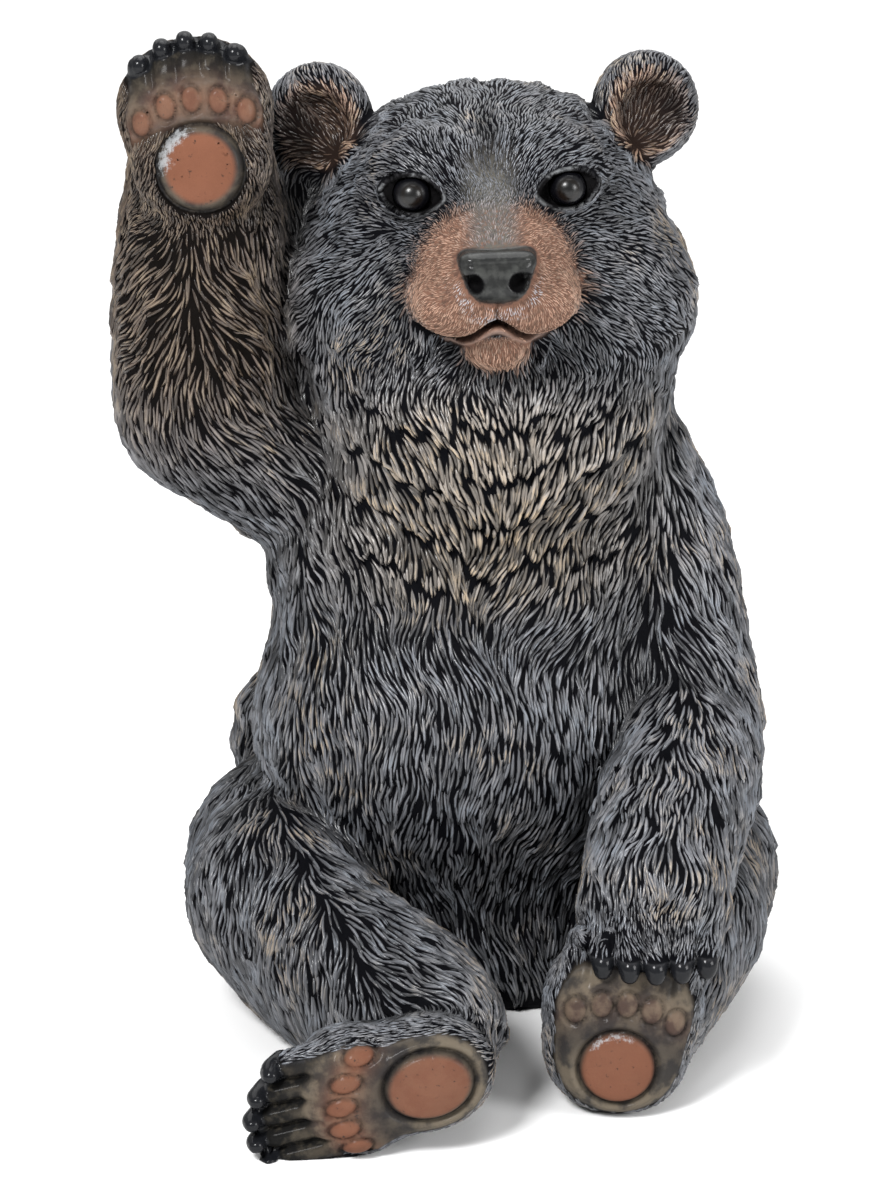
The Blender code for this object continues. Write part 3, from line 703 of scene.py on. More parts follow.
def paintPaw(points, paw, masks):
    local = pawLocal(points, paw)
    near = np.linalg.norm(local - (0, 0, 0.03), axis=1) < 0.16
    ahead = local[:, 1] > -0.03
    onSole = (1.0 - ramp(local[:, 1], 0.004, 0.012)) * ahead * near
    for index, (centre, radii, line, _, _) in enumerate(padDiscs(paw)):
        out = discShare(local, centre, radii)
        strength, edge, dark = (paw["padTone"], paw["padPaint"], 0.90) if index == 0 else (
            paw["toePaint"], 0.90, 0.66)
        cover(masks, "pad", strength * onSole * (1.0 - ramp(out, edge - 0.10, edge + 0.06)))
        cover(masks, "ring", onSole * (swell(out, 1.0, 0.62 * (line / min(radii))) * dark))
        if index == 0:
            cover(masks, "sole", onSole * (1.0 - ramp(out, 0.98, 1.04)))
            cover(masks, "heel", 0.6 * onSole * (1.0 - ramp(out, 0.96, 1.02)))
    width = np.abs(local[:, 0]) / paw["width"]
    row = abovePads(local, paw) - paw["slope"] * local[:, 0] / paw["fan"]
    spray = swell(row, 0.001, 0.0185) * (1.0 - ramp(width, 0.82, 0.98))
    cover(masks, "spray", onSole * paw["toePaint"] * spray)
    if paw is raisedPaw:
        band = swell(local[:, 2] + 3.4 * local[:, 0] ** 2, paw["toeRow"] - 0.001, 0.023)
        flat = band * (1.0 - ramp(width, 0.80, 1.0))
    else:
        reach = ramp(local[:, 2], -paw["heel"] - 0.004, -paw["heel"] + 0.008) * (
            1.0 - ramp(local[:, 2], paw["tips"] - 0.030, paw["tips"] - 0.012))
        flat = reach * (1.0 - ramp(width, 0.84, 1.0))
    cover(masks, "sole", onSole * flat)
    cover(masks, "heel", onSole * flat * swell(row, -paw["toeRow"] * 0.45, 0.022))
    if paw is leftFoot:  # its claws lie hidden under the fur of the resting paw
        return
    cover(masks, "finger", near * fingerReach(local, paw) * ahead * (
        1.0 - ramp(np.abs(local[:, 0]), paw["fan"] * 2.05, paw["fan"] * 2.45)))
    for across, back in toePlaces(paw):
        gap = within(local, (across, 0.02, paw["tips"]), 0.06, lambda part: toeClaw(part, paw, across, back))
        cover(masks, "claw", 1.0 - ramp(gap, 0.0006, 0.0022))


# Which way the fur is combed
def towards(x, y, z):
    return np.column_stack(np.broadcast_arrays(*(np.asarray(part, float) for part in (x, y, z))))


def headComb(points):
    head = into(points, headFrame)
    x, y, z = head.T
    up = z - 0.004
    reach = np.maximum(np.hypot(x, up), 1e-4)
    droop = ramp(reach, 0.06, 0.20)
    spread = towards(x / reach, 0.55 + 0 * x, up / reach - 0.9 * droop)
    inward = -0.5 * np.clip(x / 0.10, -1, 1) * ramp(-y, 0.0, 0.08)
    hanging = towards(inward, 0 * x, -1.0)
    low = ramp(-z, 0.085, 0.150)[:, None]
    back = ramp(y, 0.00, 0.10)[:, None]
    comb = spread * (1 - low) + hanging * low
    comb = comb * (1 - back) + towards(0.15 * np.sign(x), 0.25, -1.0) * back
    side = np.sign(x)
    ear = (np.linalg.norm(mirrored(head) - (0.163, 0.0, 0.112), axis=1) < 0.066)[:, None]
    fromBase = head - np.column_stack([0.128 * side, 0.0 * x, 0.062 + 0 * x])
    return outOf(np.where(ear, fromBase, comb), headFrame)


def trunkComb(points):
    x, y, z = points[:, 0] - pose["spine"], points[:, 1], points[:, 2]
    front = ramp(-y, -0.03, 0.05)
    pull = 0.22 + 0.30 * ramp(z, 0.42, 0.50)
    wave = 0.30 * np.sin(22 * z + 7 * x) * (1.0 - ramp(z, 0.42, 0.50))
    underArm = -0.75 * swell(x, 0.11, 0.06) * swell(z, 0.42, 0.05)
    return towards(front * (-pull * np.clip(x / 0.12, -1, 1) + wave * 0.6 + underArm), 0 * x, -1.0)


def raisedComb(points):
    x, y, z = points.T
    off = np.clip((x + 0.238) / 0.045, -1, 1)
    strength = np.where(off < 0, 1.5 * ramp(z, 0.60, 0.70) + 0.25, 0.75)
    front = ramp(-y, 0.0, 0.05)
    return towards(front * off * strength + 0.35 * ramp(-z, -0.68, -0.58), 0 * x, -1.0)


def upperArmComb(points):
    x, y, z = points.T
    off = np.clip((x - 0.220) / 0.030, -0.45, 1.0)
    return towards(0.85 * off * ramp(-y, -0.03, 0.03), -0.10, -1.0)


def forearmComb(points):
    x, y, z = points.T
    off = np.clip((x - 0.250) / 0.040, -1.0, 0.45)
    return towards(off * (0.25 + 0.95 * ramp(y, -0.20, -0.06)), -0.75, -0.75)


def leftLegComb(points):
    x, y, z = points.T
    outer = np.maximum(ramp(x, 0.255, 0.300), ramp(y, -0.03, 0.04))
    return towards(-0.25 * (1 - outer), -1.0 + 0.75 * outer, -0.30 - 0.8 * outer)


def rightLegComb(points):
    x, y, z = points.T
    inner = ramp(x + 0.35 * y, -0.215, -0.165) * ramp(-y, -0.03, 0.04)
    return towards(0.05 + 0.95 * inner, -0.30 - 0.55 * inner, -1.0 + 0.75 * inner)


def footComb(points, paw, toToes):
    local = pawLocal(points, paw)
    comb = towards(0.5 * np.clip(local[:, 0] / 0.05, -1, 1), 0 * local[:, 0], toToes)
    return outOf(comb, frameOf(paw["pad"], paw["turn"]))


combs = {
    "trunk": trunkComb, "head": headComb, "upperArm": upperArmComb, "raisedArm": raisedComb,
    "leftLeg": leftLegComb, "rightLeg": rightLegComb, "forearm": forearmComb,
    "leftFoot": lambda p: footComb(p, leftFoot, 1.0),
    "rightFoot": lambda p: footComb(p, rightFoot, 1.0),
    "raisedPaw": lambda p: footComb(p, raisedPaw, -1.0),
    "restingPaw": lambda p: towards(0.0, -0.65, -1.0) + 0 * p,
}


def unit(vectors, least=1e-12):
    return vectors / np.maximum(np.linalg.norm(vectors, axis=1), least)[:, None]


def ripple(points, scale, seed):  # a smooth random field from about -1 to 1
    dice = np.random.default_rng(seed)
    total = np.zeros(len(points))
    for _ in range(5):
        way = dice.normal(size=3)
        way /= np.linalg.norm(way)
        total += np.sin(points @ way * (2 * math.pi / scale) * dice.uniform(0.7, 1.4) + dice.uniform(0, 6.28))
    return total / 2.6


# Where limbs meet in a crease, which is left dark: painted shade, over the paint's dark wash
shadedCreases = [("trunk", "rightLeg"), ("trunk", "leftLeg"), ("trunk", "forearm"), ("forearm", "leftLeg"),
           ("raisedArm", "head"), ("rightLeg", "rightFoot")]


def furField(points, normals):
    gaps = {"trunk": trunk(points)}
    for name, middle, reach, shape, _ in limbs:
        gaps[name] = within(points, middle, reach, shape)
    names = list(gaps)
    table = np.column_stack([gaps[name] for name in names])
    nearest = table.min(axis=1)
    weight = np.exp(-(table - nearest[:, None]) / furLook["limbBlend"])
    comb = np.zeros_like(points)
    for column, name in enumerate(names):
        comb += weight[:, column, None] * unit(combs[name](points), 1e-6)
    depths = [1.0 - ramp(np.maximum(gaps[one], gaps[two]), *furLook["crease"]) for one, two in shadedCreases]
    crease = np.max(depths, axis=0) * ramp(-points[:, 1], -0.05, 0.03)
    comb -= normals * (comb * normals).sum(axis=1)[:, None]
    rows, shown = chestRows(*points.T)
    overhang = (shown > 0.4) & (np.linalg.norm(comb, axis=1) < 0.45)
    # painted shadow below the lip of each row of chest locks
    crease = np.maximum(crease, 0.75 * shown * (1.0 - ramp(rows - np.floor(rows), 0.10, 0.42)))
    comb = unit(comb, 1e-6)
    side = np.cross(comb, normals)
    turn = 0.30 * ripple(points, 0.070, 3) + 0.26 * ripple(points, 0.034, 8) + 0.12 * ripple(points, 0.016, 5)
    comb = comb * np.cos(turn)[:, None] + side * np.sin(turn)[:, None]
    owner = np.array(names, dtype="U12")[table.argmin(axis=1)]
    owner[(owner == "head") & (into(points, headFrame)[:, 1] < -0.055)] = "face"
    return comb, owner, overhang, crease


furLook = {  # real length, width and height of a stroke, in metres
    "plain": (0.0112, 0.00144, 0.00080),
    "face": (0.0052, 0.00098, 0.00042),
    "muzzle": (0.0026, 0.00062, 0.00018),
    "ruff": (0.0110, 0.00185, 0.00120),
    "ear": (0.0052, 0.00100, 0.00042),
    "foot": (0.0042, 0.00092, 0.00036),
    "crowding": 0.61,  # how near strokes may lie side by side, as a share of their width
    "spacing": 0.42,  # and end to end, as a share of their length
    "tries": 200000,
    "seed": 11,
    "lengths": (0.75, 1.25),  # least and greatest share of the length above
    "tilt": 0.07,  # how far a stroke turns off the comb at its root
    "curl": 0.10,  # and how far it bends
    "rootAbove": 0.0010,  # height in metres of the lowest roots
    "tipAbove": 0.0004,  # and tips
    "limbBlend": 0.006,  # how softly the comb goes over from one limb to the next
    "crease": (0.002, 0.020),  # gap to both limbs where a crease is full and where it ends
    "shadeOverRightLeg": 0.22,  # painted shade over the right leg's fur
    "lightOnRestingArm": 0.24,  # and painted light on the resting arm's fur
}


def furSizes(points):  # length, width and height of the strokes at each point
    look = furLook
    head = into(points, headFrame)
    x, y, z = head.T
    reach = np.linalg.norm((head - (0, -0.19, 0.0)) * (1.0, 0.75, 1.0), axis=1)
    onHead = (z > -0.16) & (points[:, 0] > -0.175) & (points[:, 2] > 0.62)
    face = (1.0 - ramp(reach, 0.160, 0.285)) * onHead
    fine = (1.0 - ramp(reach, 0.075, 0.120)) * onHead
    chest = swell(points[:, 0], pose["spine"], 0.17) * ramp(points[:, 2], 0.45, 0.52) * (
        1.0 - ramp(points[:, 2], 0.62, 0.70)) * ramp(-points[:, 1], 0.0, 0.05)
    ear = np.linalg.norm(mirrored(head) - (0.163, 0.01, 0.110), axis=1) < 0.068
    foot = np.linalg.norm(points - (0.202, -0.350, 0.175), axis=1) < 0.060
    for paw in (raisedPaw, rightFoot, leftFoot):
        foot |= pawBox(pawLocal(points, paw), paw, 0.01, 0.06, -paw["heel"] - 0.01)
    sizes = np.tile(look["plain"], (len(points), 1))
    for kind, share in (("face", face), ("muzzle", fine), ("ruff", chest)):
        sizes = sizes * (1 - share)[:, None] + np.array(look[kind]) * share[:, None]
    sizes[ear] = look["ear"]
    sizes[foot] = np.minimum(sizes[foot], look["foot"])
    return sizes


bareShares = {  # how far each paint mask keeps the fur away
    "nose": 1.0, "lids": 1.0, "pad": 1.0, "ring": 0.9, "claw": 1.0, "mouth": 1.0, "lip": 1.0, "finger": 0.95,
}


def bareness(masks):
    covered = [share * masks[key] for key, share in bareShares.items()]
    return np.maximum.reduce([*covered, ramp(masks["sole"], 0.35, 0.75)])


def hollows(piece):  # how deep each corner lies below its wider surroundings, from 0 to 1; used as painted shade
    mesh = piece.data
    places = cornersOf(mesh)
    ends = tableOf(mesh.edges, "vertices", 2, int)
    first, second = ends.T
    shares = np.bincount(ends.ravel(), minlength=len(places))
    even = places.copy()
    for _ in range(castingLook["evenRounds"]):
        total = np.column_stack([np.bincount(first, even[second, k], len(places))
                                 + np.bincount(second, even[first, k], len(places)) for k in range(3)])
        even = 0.5 * even + 0.5 * total / shares[:, None]
    depth = ((even - places) * tableOf(mesh.vertices, "normal", 3)).sum(axis=1)
    return ramp(depth, *castingLook["hollow"])


class Skin:  # the casting's facets, with what is known at their corners
    def __init__(self, piece, fields):
        mesh = piece.data
        self.places = cornersOf(mesh)
        mesh.calc_loop_triangles()
        self.corners = tableOf(mesh.loop_triangles, "vertices", 3, int)
        self.tree = BVHTree.FromPolygons(self.places.tolist(), self.corners.tolist())
        self.fields = fields

    def areas(self):
        a, b, c = (self.places[self.corners[:, k]] for k in range(3))
        return np.linalg.norm(np.cross(b - a, c - a), axis=1) / 2

    def shares(self, facets, points):  # how near each point is to its facet's three corners
        a, b, c = (self.places[self.corners[facets, k]] for k in range(3))
        whole = np.cross(b - a, c - a)
        total = np.maximum((whole**2).sum(axis=1), 1e-20)
        first = (np.cross(c - b, points - b) * whole).sum(axis=1) / total
        second = (np.cross(a - c, points - c) * whole).sum(axis=1) / total
        part = np.clip(np.column_stack([first, second, 1 - first - second]), 0, 1)
        return part / part.sum(axis=1)[:, None]

    def read(self, name, facets, part):
        field = self.fields[name][self.corners[facets]]
        return (field * part[:, :, None]).sum(axis=1) if field.ndim == 3 else (field * part).sum(axis=1)

    def drop(self, points):  # nearest places on the skin
        found = [self.tree.find_nearest(point) for point in points.tolist()]
        return np.array([hit[0] for hit in found]), np.array([hit[2] for hit in found])


def scatter(skin, dice):  # even places for strokes, brick fashion along the comb
    look = furLook
    areas = skin.areas()
    sizes = skin.fields["sizes"][skin.corners].mean(axis=1)
    need = areas / (sizes[:, 0] * sizes[:, 1]) * (skin.fields["bare"][skin.corners].mean(axis=1) < 0.5)
    need *= skin.places[skin.corners].mean(axis=1)[:, 2] > look["rootAbove"]
    facets = np.searchsorted(np.cumsum(need) / need.sum(), dice.random(look["tries"]))
    facets = np.minimum(facets, len(need) - 1)
    part = np.sqrt(dice.random(len(facets)))
    other = dice.random(len(facets))
    part = np.column_stack([1 - part, part * (1 - other), part * other])
    points = (skin.places[skin.corners[facets]] * part[:, :, None]).sum(axis=1)
    keep = skin.read("bare", facets, part) < 0.35
    facets, part, points = facets[keep], part[keep], points[keep]
    comb = unit(skin.read("comb", facets, part))
    sizes = skin.read("sizes", facets, part)
    tree = KDTree(len(points))
    for index, point in enumerate(points.tolist()):
        tree.insert(point, index)
    tree.balance()
    alive = np.ones(len(points), bool)
    chosen = []
    ways = comb.tolist()
    for index in range(len(points)):
        if not alive[index]:
            continue
        chosen.append(index)
        long = sizes[index, 0] * look["spacing"]
        wide = sizes[index, 1] * look["crowding"]
        x, y, z = points[index].tolist()
        a, b, c = ways[index]
        for place, other, gap in tree.find_range((x, y, z), long):
            dx, dy, dz = place[0] - x, place[1] - y, place[2] - z
            along = dx * a + dy * b + dz * c
            across = max(gap * gap - along * along, 0.0)
            if (along / long) ** 2 + across / (wide * wide) < 1.0:
                alive[other] = False
    chosen = np.array(chosen)
    return facets[chosen], part[chosen], points[chosen], comb[chosen], sizes[chosen]


def traceStrokes(skin, dice, steps=4):
    facets, part, points, comb, sizes = scatter(skin, dice)
    count = len(points)
    length = sizes[:, 0] * dice.uniform(*furLook["lengths"], count)
    path, normals = [points], [unit(skin.read("normal", facets, part))]
    bare = np.zeros(count)
    tilt = dice.normal(0, furLook["tilt"], count)
    curl = dice.normal(0, furLook["curl"], count)
    way = comb
    first = facets
    for step in range(steps):
        side = np.cross(way, normals[-1])
        turn = (tilt if step == 0 else curl)[:, None]
        ahead = points + (way + side * turn) * (length / steps)[:, None]
        points, facets = skin.drop(ahead)
        part = skin.shares(facets, points)
        normal = unit(skin.read("normal", facets, part))
        fresh = unit(skin.read("comb", facets, part))
        way = unit(0.5 * way + 0.5 * fresh)
        way = unit(way - normal * (way * normal).sum(axis=1)[:, None])
        path.append(points)
        normals.append(normal)
        bare = np.maximum(bare, skin.read("bare", facets, part))
    keep = (bare < 0.80) & (path[-1][:, 2] > furLook["tipAbove"])
    path, normals = np.array(path), np.array(normals)
    path, normals = stopAtRows(path[:, keep], normals[:, keep])
    return path, normals, sizes[keep], first[keep], dice.uniform(0, 1, (keep.sum(), 3))


def stopAtRows(path, normals):  # strokes on the chest end at the lip of their row, or start below it
    steps, count = path.shape[0] - 1, path.shape[1]
    each = np.arange(count)
    rows, shown = (part.reshape(steps + 1, count) for part in chestRows(*toShares(path.reshape(-1, 3)).T))
    crossed = (np.floor(rows) > np.floor(rows[0])) & (shown[0] > 0.4)
    after = np.maximum(crossed.argmax(axis=0), 1)
    above, below = rows[after - 1, each], rows[after, each]
    lip = after - 1 + (np.ceil(above) - above) / np.maximum(below - above, 1e-6)
    lip = np.where(crossed.any(axis=0), lip, steps) / steps
    start = np.where(lip < 0.30, lip + 0.04, 0.0)
    end = np.where((lip < 0.30) | (lip >= 1.0), 1.0, lip + 0.03)
    movedPath, movedNormals = np.empty_like(path), np.empty_like(normals)
    for ring in range(steps + 1):
        at = (start + (end - start) * ring / steps) * steps
        low = np.clip(at.astype(int), 0, steps - 1)
        share = (at - low)[:, None]
        for moved, old in ((movedPath, path), (movedNormals, normals)):
            moved[ring] = old[low, each] * (1 - share) + old[low + 1, each] * share
    return movedPath, movedNormals


strokeShape = {
    "widths": (0.85, 0.45),  # least share of the width, and how much chance adds
    "heights": (0.60, 0.85),
    "girth": (0.80, 1.0, 0.85),  # of the rings from root to tip
    "lift": (0.50, 0.90, 1.0),  # how high their ridge stands
    "tip": 0.35,
    "sink": 0.00022,  # metres under the skin
    "rootSink": 0.00025,
}


def strokeMesh(name, path, normals, sizes, luck, fields):
    steps, count = path.shape[0] - 1, path.shape[1]
    leastWidth, moreWidth = strokeShape["widths"]
    leastHeight, moreHeight = strokeShape["heights"]
    width = sizes[:, 1] * (leastWidth + moreWidth * luck[:, 0])
    height = sizes[:, 2] * (leastHeight + moreHeight * luck[:, 1])
    girth, lift = strokeShape["girth"], strokeShape["lift"]
    corners = [path[0] - normals[0] * strokeShape["rootSink"]]
    ridge = [np.zeros(count)]
    for ring in range(1, steps):
        way = unit(path[ring + 1] - path[ring - 1])
        side = np.cross(way, normals[ring])
        half = (width * girth[ring - 1] / 2)[:, None]
        sink = normals[ring] * strokeShape["sink"]
        corners += [path[ring] - side * half - sink,
                    path[ring] + normals[ring] * (height * lift[ring - 1])[:, None],
                    path[ring] + side * half - sink]
        ridge += [np.zeros(count), np.full(count, lift[ring - 1]), np.zeros(count)]
    corners.append(path[-1] + normals[-1] * (height * strokeShape["tip"])[:, None])
    ridge.append(np.full(count, 0.75))
    each = len(corners)
    faces = [(0, 2, 1), (0, 3, 2), (0, 1, 3)]
    for ring in range(steps - 2):
        a, b, c = 1 + 3 * ring, 2 + 3 * ring, 3 + 3 * ring
        faces += [(a, b, b + 3), (a, b + 3, a + 3), (b, c, c + 3), (b, c + 3, b + 3),
                  (c, a, a + 3), (c, a + 3, c + 3)]
    a, b, c, tip = each - 4, each - 3, each - 2, each - 1
    faces += [(a, b, tip), (b, c, tip), (c, a, tip)]
    places = np.array(corners).transpose(1, 0, 2).reshape(-1, 3)
    places[:, 2] = np.maximum(places[:, 2], 0.0)  # nothing below the ground
    facets = (np.array(faces)[None] + (np.arange(count) * each)[:, None, None]).reshape(-1, 3)
    mesh = bpy.data.meshes.new(name)
    mesh.vertices.add(len(places))
    mesh.vertices.foreach_set("co", places.ravel())
    mesh.loops.add(facets.size)
    mesh.loops.foreach_set("vertex_index", facets.ravel())
    mesh.polygons.add(len(facets))
    mesh.polygons.foreach_set("loop_start", np.arange(len(facets)) * 3)
    mesh.update(calc_edges=True)
    mesh.shade_smooth()
    writeField(mesh, "ridge", np.array(ridge).T.ravel())
    writeField(mesh, "tint", np.repeat(luck[:, 2], each))
    for key, values in fields.items():
        writeField(mesh, key, np.repeat(values, each))
    piece = bpy.data.objects.new(name, mesh)
    bpy.context.scene.collection.objects.link(piece)
    return piece


def writeField(mesh, name, values):
    field = mesh.attributes.new(name, "FLOAT", "POINT")
    field.data.foreach_set("value", np.asarray(values, np.float32))


furPieces = {  # which limbs' fur each piece holds
    "fur_face": ("face",),
    "fur_head": ("head",),
    "fur_trunk": ("trunk",),
    "fur_raised_arm": ("raisedArm", "raisedPaw"),
    "fur_resting_arm": ("upperArm", "forearm", "restingPaw"),
    "fur_right_leg": ("rightLeg", "rightFoot"),
    "fur_left_leg": ("leftLeg", "leftFoot"),
}


def makeFur(casting, masks):
    dice = np.random.default_rng(furLook["seed"])
    mesh = casting.data
    normals = tableOf(mesh.vertices, "normal", 3)
    shares = toShares(cornersOf(mesh))
    comb, owner, overhang, crease = furField(shares, normals)
    # painted shade in creases, below chest rows and over the right leg; painted light on the resting arm
    paintedShade = np.maximum(crease, furLook["shadeOverRightLeg"] * (owner == "rightLeg"))
    paintedLight = furLook["lightOnRestingArm"] * np.isin(owner, ("upperArm", "forearm"))
    masks["hollow"] = np.maximum(masks["hollow"], paintedShade) - paintedLight
    bare = np.maximum(bareness(masks), overhang)
    fields = {"comb": comb, "normal": normals, "bare": bare, "sizes": furSizes(shares)}
    carriedKeys = ("tan", "brown", "ear", "muzzle", "bridge", "frost", "hollow")
    fields.update({key: masks[key] for key in carriedKeys})
    skin = Skin(casting, fields)
    path, normalsAlong, sizes, facets, luck = traceStrokes(skin, dice)
    print("fur: strokes", path.shape[1])
    owners = owner[skin.corners[facets, 0]]
    third = np.full((len(facets), 3), 1 / 3)
    pieces = []
    for name, limbNames in furPieces.items():
        mine = np.isin(owners, limbNames)
        carried = {key: skin.read(key, facets[mine], third[mine]) for key in carriedKeys}
        fur = strokeMesh(name, path[:, mine], normalsAlong[:, mine], sizes[mine], luck[mine], carried)
        pieces.append(fur)
        print("fur:", name, mine.sum(), "strokes,", len(fur.data.polygons), "facets")
    return pieces


# Materials. Colours are linear.
paint = {
    # groove and under: the near-black base coat between the strokes, also standing in as painted shade there
    "groove": (0.0012, 0.0014, 0.0026),
    "muzzleGroove": (0.040, 0.016, 0.011),
    "coat": (0.060, 0.062, 0.068),
    "brownCoat": (0.046, 0.034, 0.026),
    "tanCoat": (0.175, 0.152, 0.128),
    "muzzle": (0.200, 0.124, 0.090),
    "ear": (0.115, 0.074, 0.054),
    "coolCrest": (0.200, 0.222, 0.255),
    "warmCrest": (0.400, 0.310, 0.210),
    "muzzleCrest": (0.430, 0.315, 0.245),
    "frost": (0.420, 0.440, 0.480),
    "under": (0.0020, 0.0021, 0.0030),
    "underBrown": (0.0036, 0.0028, 0.0024),
    "underEar": (0.016, 0.010, 0.008),
    "terracotta": (0.138, 0.057, 0.034),
    "pit": (0.040, 0.024, 0.018),
    "heel": (0.016, 0.015, 0.016),
    "bridge": (0.085, 0.080, 0.070),
    "lip": (0.300, 0.200, 0.160),
    "nostril": (0.003, 0.003, 0.004),
    "line": (0.0022, 0.0020, 0.0022),  # in the grooves round the pads and the mouth, and round the lids, where it is also painted lid shadow
    "rim": (0.140, 0.145, 0.150),
    "claw": (0.006, 0.0065, 0.008),
    # painted highlight on the pads' upper edges
    "padHighlight": (0.300, 0.310, 0.320),
}
mottling = {  # a noise's scale and detail, where its patches start and end, and the two colours
    "bare": (420.0, 3.0, 0.42, 0.62, (0.016, 0.016, 0.018), (0.040, 0.040, 0.043)),
    "finger": (330.0, 5.0, 0.46, 0.70, (0.0070, 0.0068, 0.0066), (0.032, 0.028, 0.022)),
    "sole": (150.0, 6.0, 0.40, 0.62, (0.106, 0.088, 0.066), (0.034, 0.031, 0.028)),
    "muzzle": (700.0, 3.0, 0.44, 0.66, (0.150, 0.080, 0.056), (0.090, 0.050, 0.038)),
    "nose": (260.0, 4.0, 0.40, 0.65, (0.0140, 0.0145, 0.0142), (0.034, 0.035, 0.033)),
}


def newMaterial(name):
    material = bpy.data.materials.new(name)
    material.use_nodes = True
    return material, material.node_tree, material.node_tree.nodes["Principled BSDF"]


def put(tree, kind, **values):
    node = tree.nodes.new(kind)
    for key, value in values.items():
        setattr(node, key, value)
    return node


def isSocket(value):
    return isinstance(value, bpy.types.NodeSocket)


def treeOf(*values):  # the node tree of the first socket among these values
    return next(value.id_data for value in values if isSocket(value))


def feed(node, **values):  # each input gets a number, a colour or another node's output
    for key, value in values.items():
        socket = node.inputs[key.replace("_", " ")]
        if isSocket(value):
            value.id_data.links.new(value, socket)
        else:
            socket.default_value = (*value, 1.0) if isinstance(value, tuple) else value
    return node


def readField(tree, name):
    return put(tree, "ShaderNodeAttribute", attribute_name=name).outputs["Fac"]


def noise(tree, scale, detail=3.0, rough=0.55, squash=None):
    where = put(tree, "ShaderNodeTexCoord").outputs["Object"]
    if squash:
        mapping = feed(put(tree, "ShaderNodeMapping"), Vector=where)
        mapping.inputs["Scale"].default_value = squash
        where = mapping.outputs["Vector"]
    node = put(tree, "ShaderNodeTexNoise")
    return feed(node, Vector=where, Scale=scale, Detail=detail, Roughness=rough).outputs["Fac"]


def reckon(operation, first, second, clamp=False):
    node = put(treeOf(first, second), "ShaderNodeMath", operation=operation, use_clamp=clamp)
    for socket, value in zip(node.inputs, (first, second)):
        if isSocket(value):
            value.id_data.links.new(value, socket)
        else:
            socket.default_value = value
    return node.outputs[0]


def times(first, second, clamp=False):
    return reckon("MULTIPLY", first, second, clamp)


def plus(first, second, clamp=False):
    return reckon("ADD", first, second, clamp)


def minus(first, second):
    return reckon("SUBTRACT", first, second)


def most(first, *others):
    for other in others:
        first = reckon("MAXIMUM", first, other)
    return first


def ragged(value, pattern, amount, clamp=False):  # moved up and down by a pattern from 0 to 1
    return plus(value, times(minus(pattern, 0.5), amount), clamp)


def step(value, low, high):  # 0 below low, 1 above high
    node = put(treeOf(value), "ShaderNodeMapRange", interpolation_type="SMOOTHSTEP")
    return feed(node, Value=value, From_Min=low, From_Max=high).outputs["Result"]


def spanned(value, low, high):  # low at 0, high at 1
    node = put(treeOf(value), "ShaderNodeMapRange")
    return feed(node, Value=value, To_Min=low, To_Max=high).outputs["Result"]


def mix(factor, first, second, mode="MIX"):
    node = put(treeOf(factor, first, second), "ShaderNodeMix", data_type="RGBA", blend_type=mode)
    feed(node, Factor=factor)
    for socket, value in ((node.inputs[6], first), (node.inputs[7], second)):
        if isSocket(value):
            value.id_data.links.new(value, socket)
        else:
            socket.default_value = (*value, 1.0)
    return node.outputs[2]


def mottled(tree, key):  # two colours in patches
    scale, detail, low, high, first, second = mottling[key]
    return mix(step(noise(tree, scale, detail), low, high), first, second)


def newGroup(name, inputs, output):
    group = bpy.data.node_groups.new(name, "ShaderNodeTree")
    for label, value in inputs:
        socket = group.interface.new_socket(name=label, in_out="INPUT", socket_type="NodeSocketFloat")
        socket.default_value = value
    group.interface.new_socket(name=output, in_out="OUTPUT", socket_type="NodeSocketFloat")
    return group, group.nodes.new("NodeGroupInput").outputs, group.nodes.new("NodeGroupOutput")


def makeDryBrush():  # light paint dragged over raised edges, patchy
    group, got, give = newGroup("dryBrush", [("Ridge", 0.0), ("Amount", 0.5), ("Patch Scale", 60.0)], "Mask")
    patch = noise(group, got["Patch Scale"], 4.0, 0.5)
    feed(give, Mask=times(step(ragged(got["Ridge"], patch, 1.3), 0.62, 1.02), got["Amount"], True))
    return group


def makeResinGrain():  # fine brush marks of painted resin, as a height
    group, got, give = newGroup("resinGrain", [("Scale", 900.0)], "Height")
    feed(give, Height=noise(group, got["Scale"], 5.0, 0.5))
    return group


def use(tree, group, **values):
    return feed(put(tree, "ShaderNodeGroup", node_tree=group), **values).outputs[0]


def bump(tree, height, strength, distance):
    node = put(tree, "ShaderNodeBump")
    return feed(node, Height=height, Strength=strength, Distance=distance).outputs["Normal"]


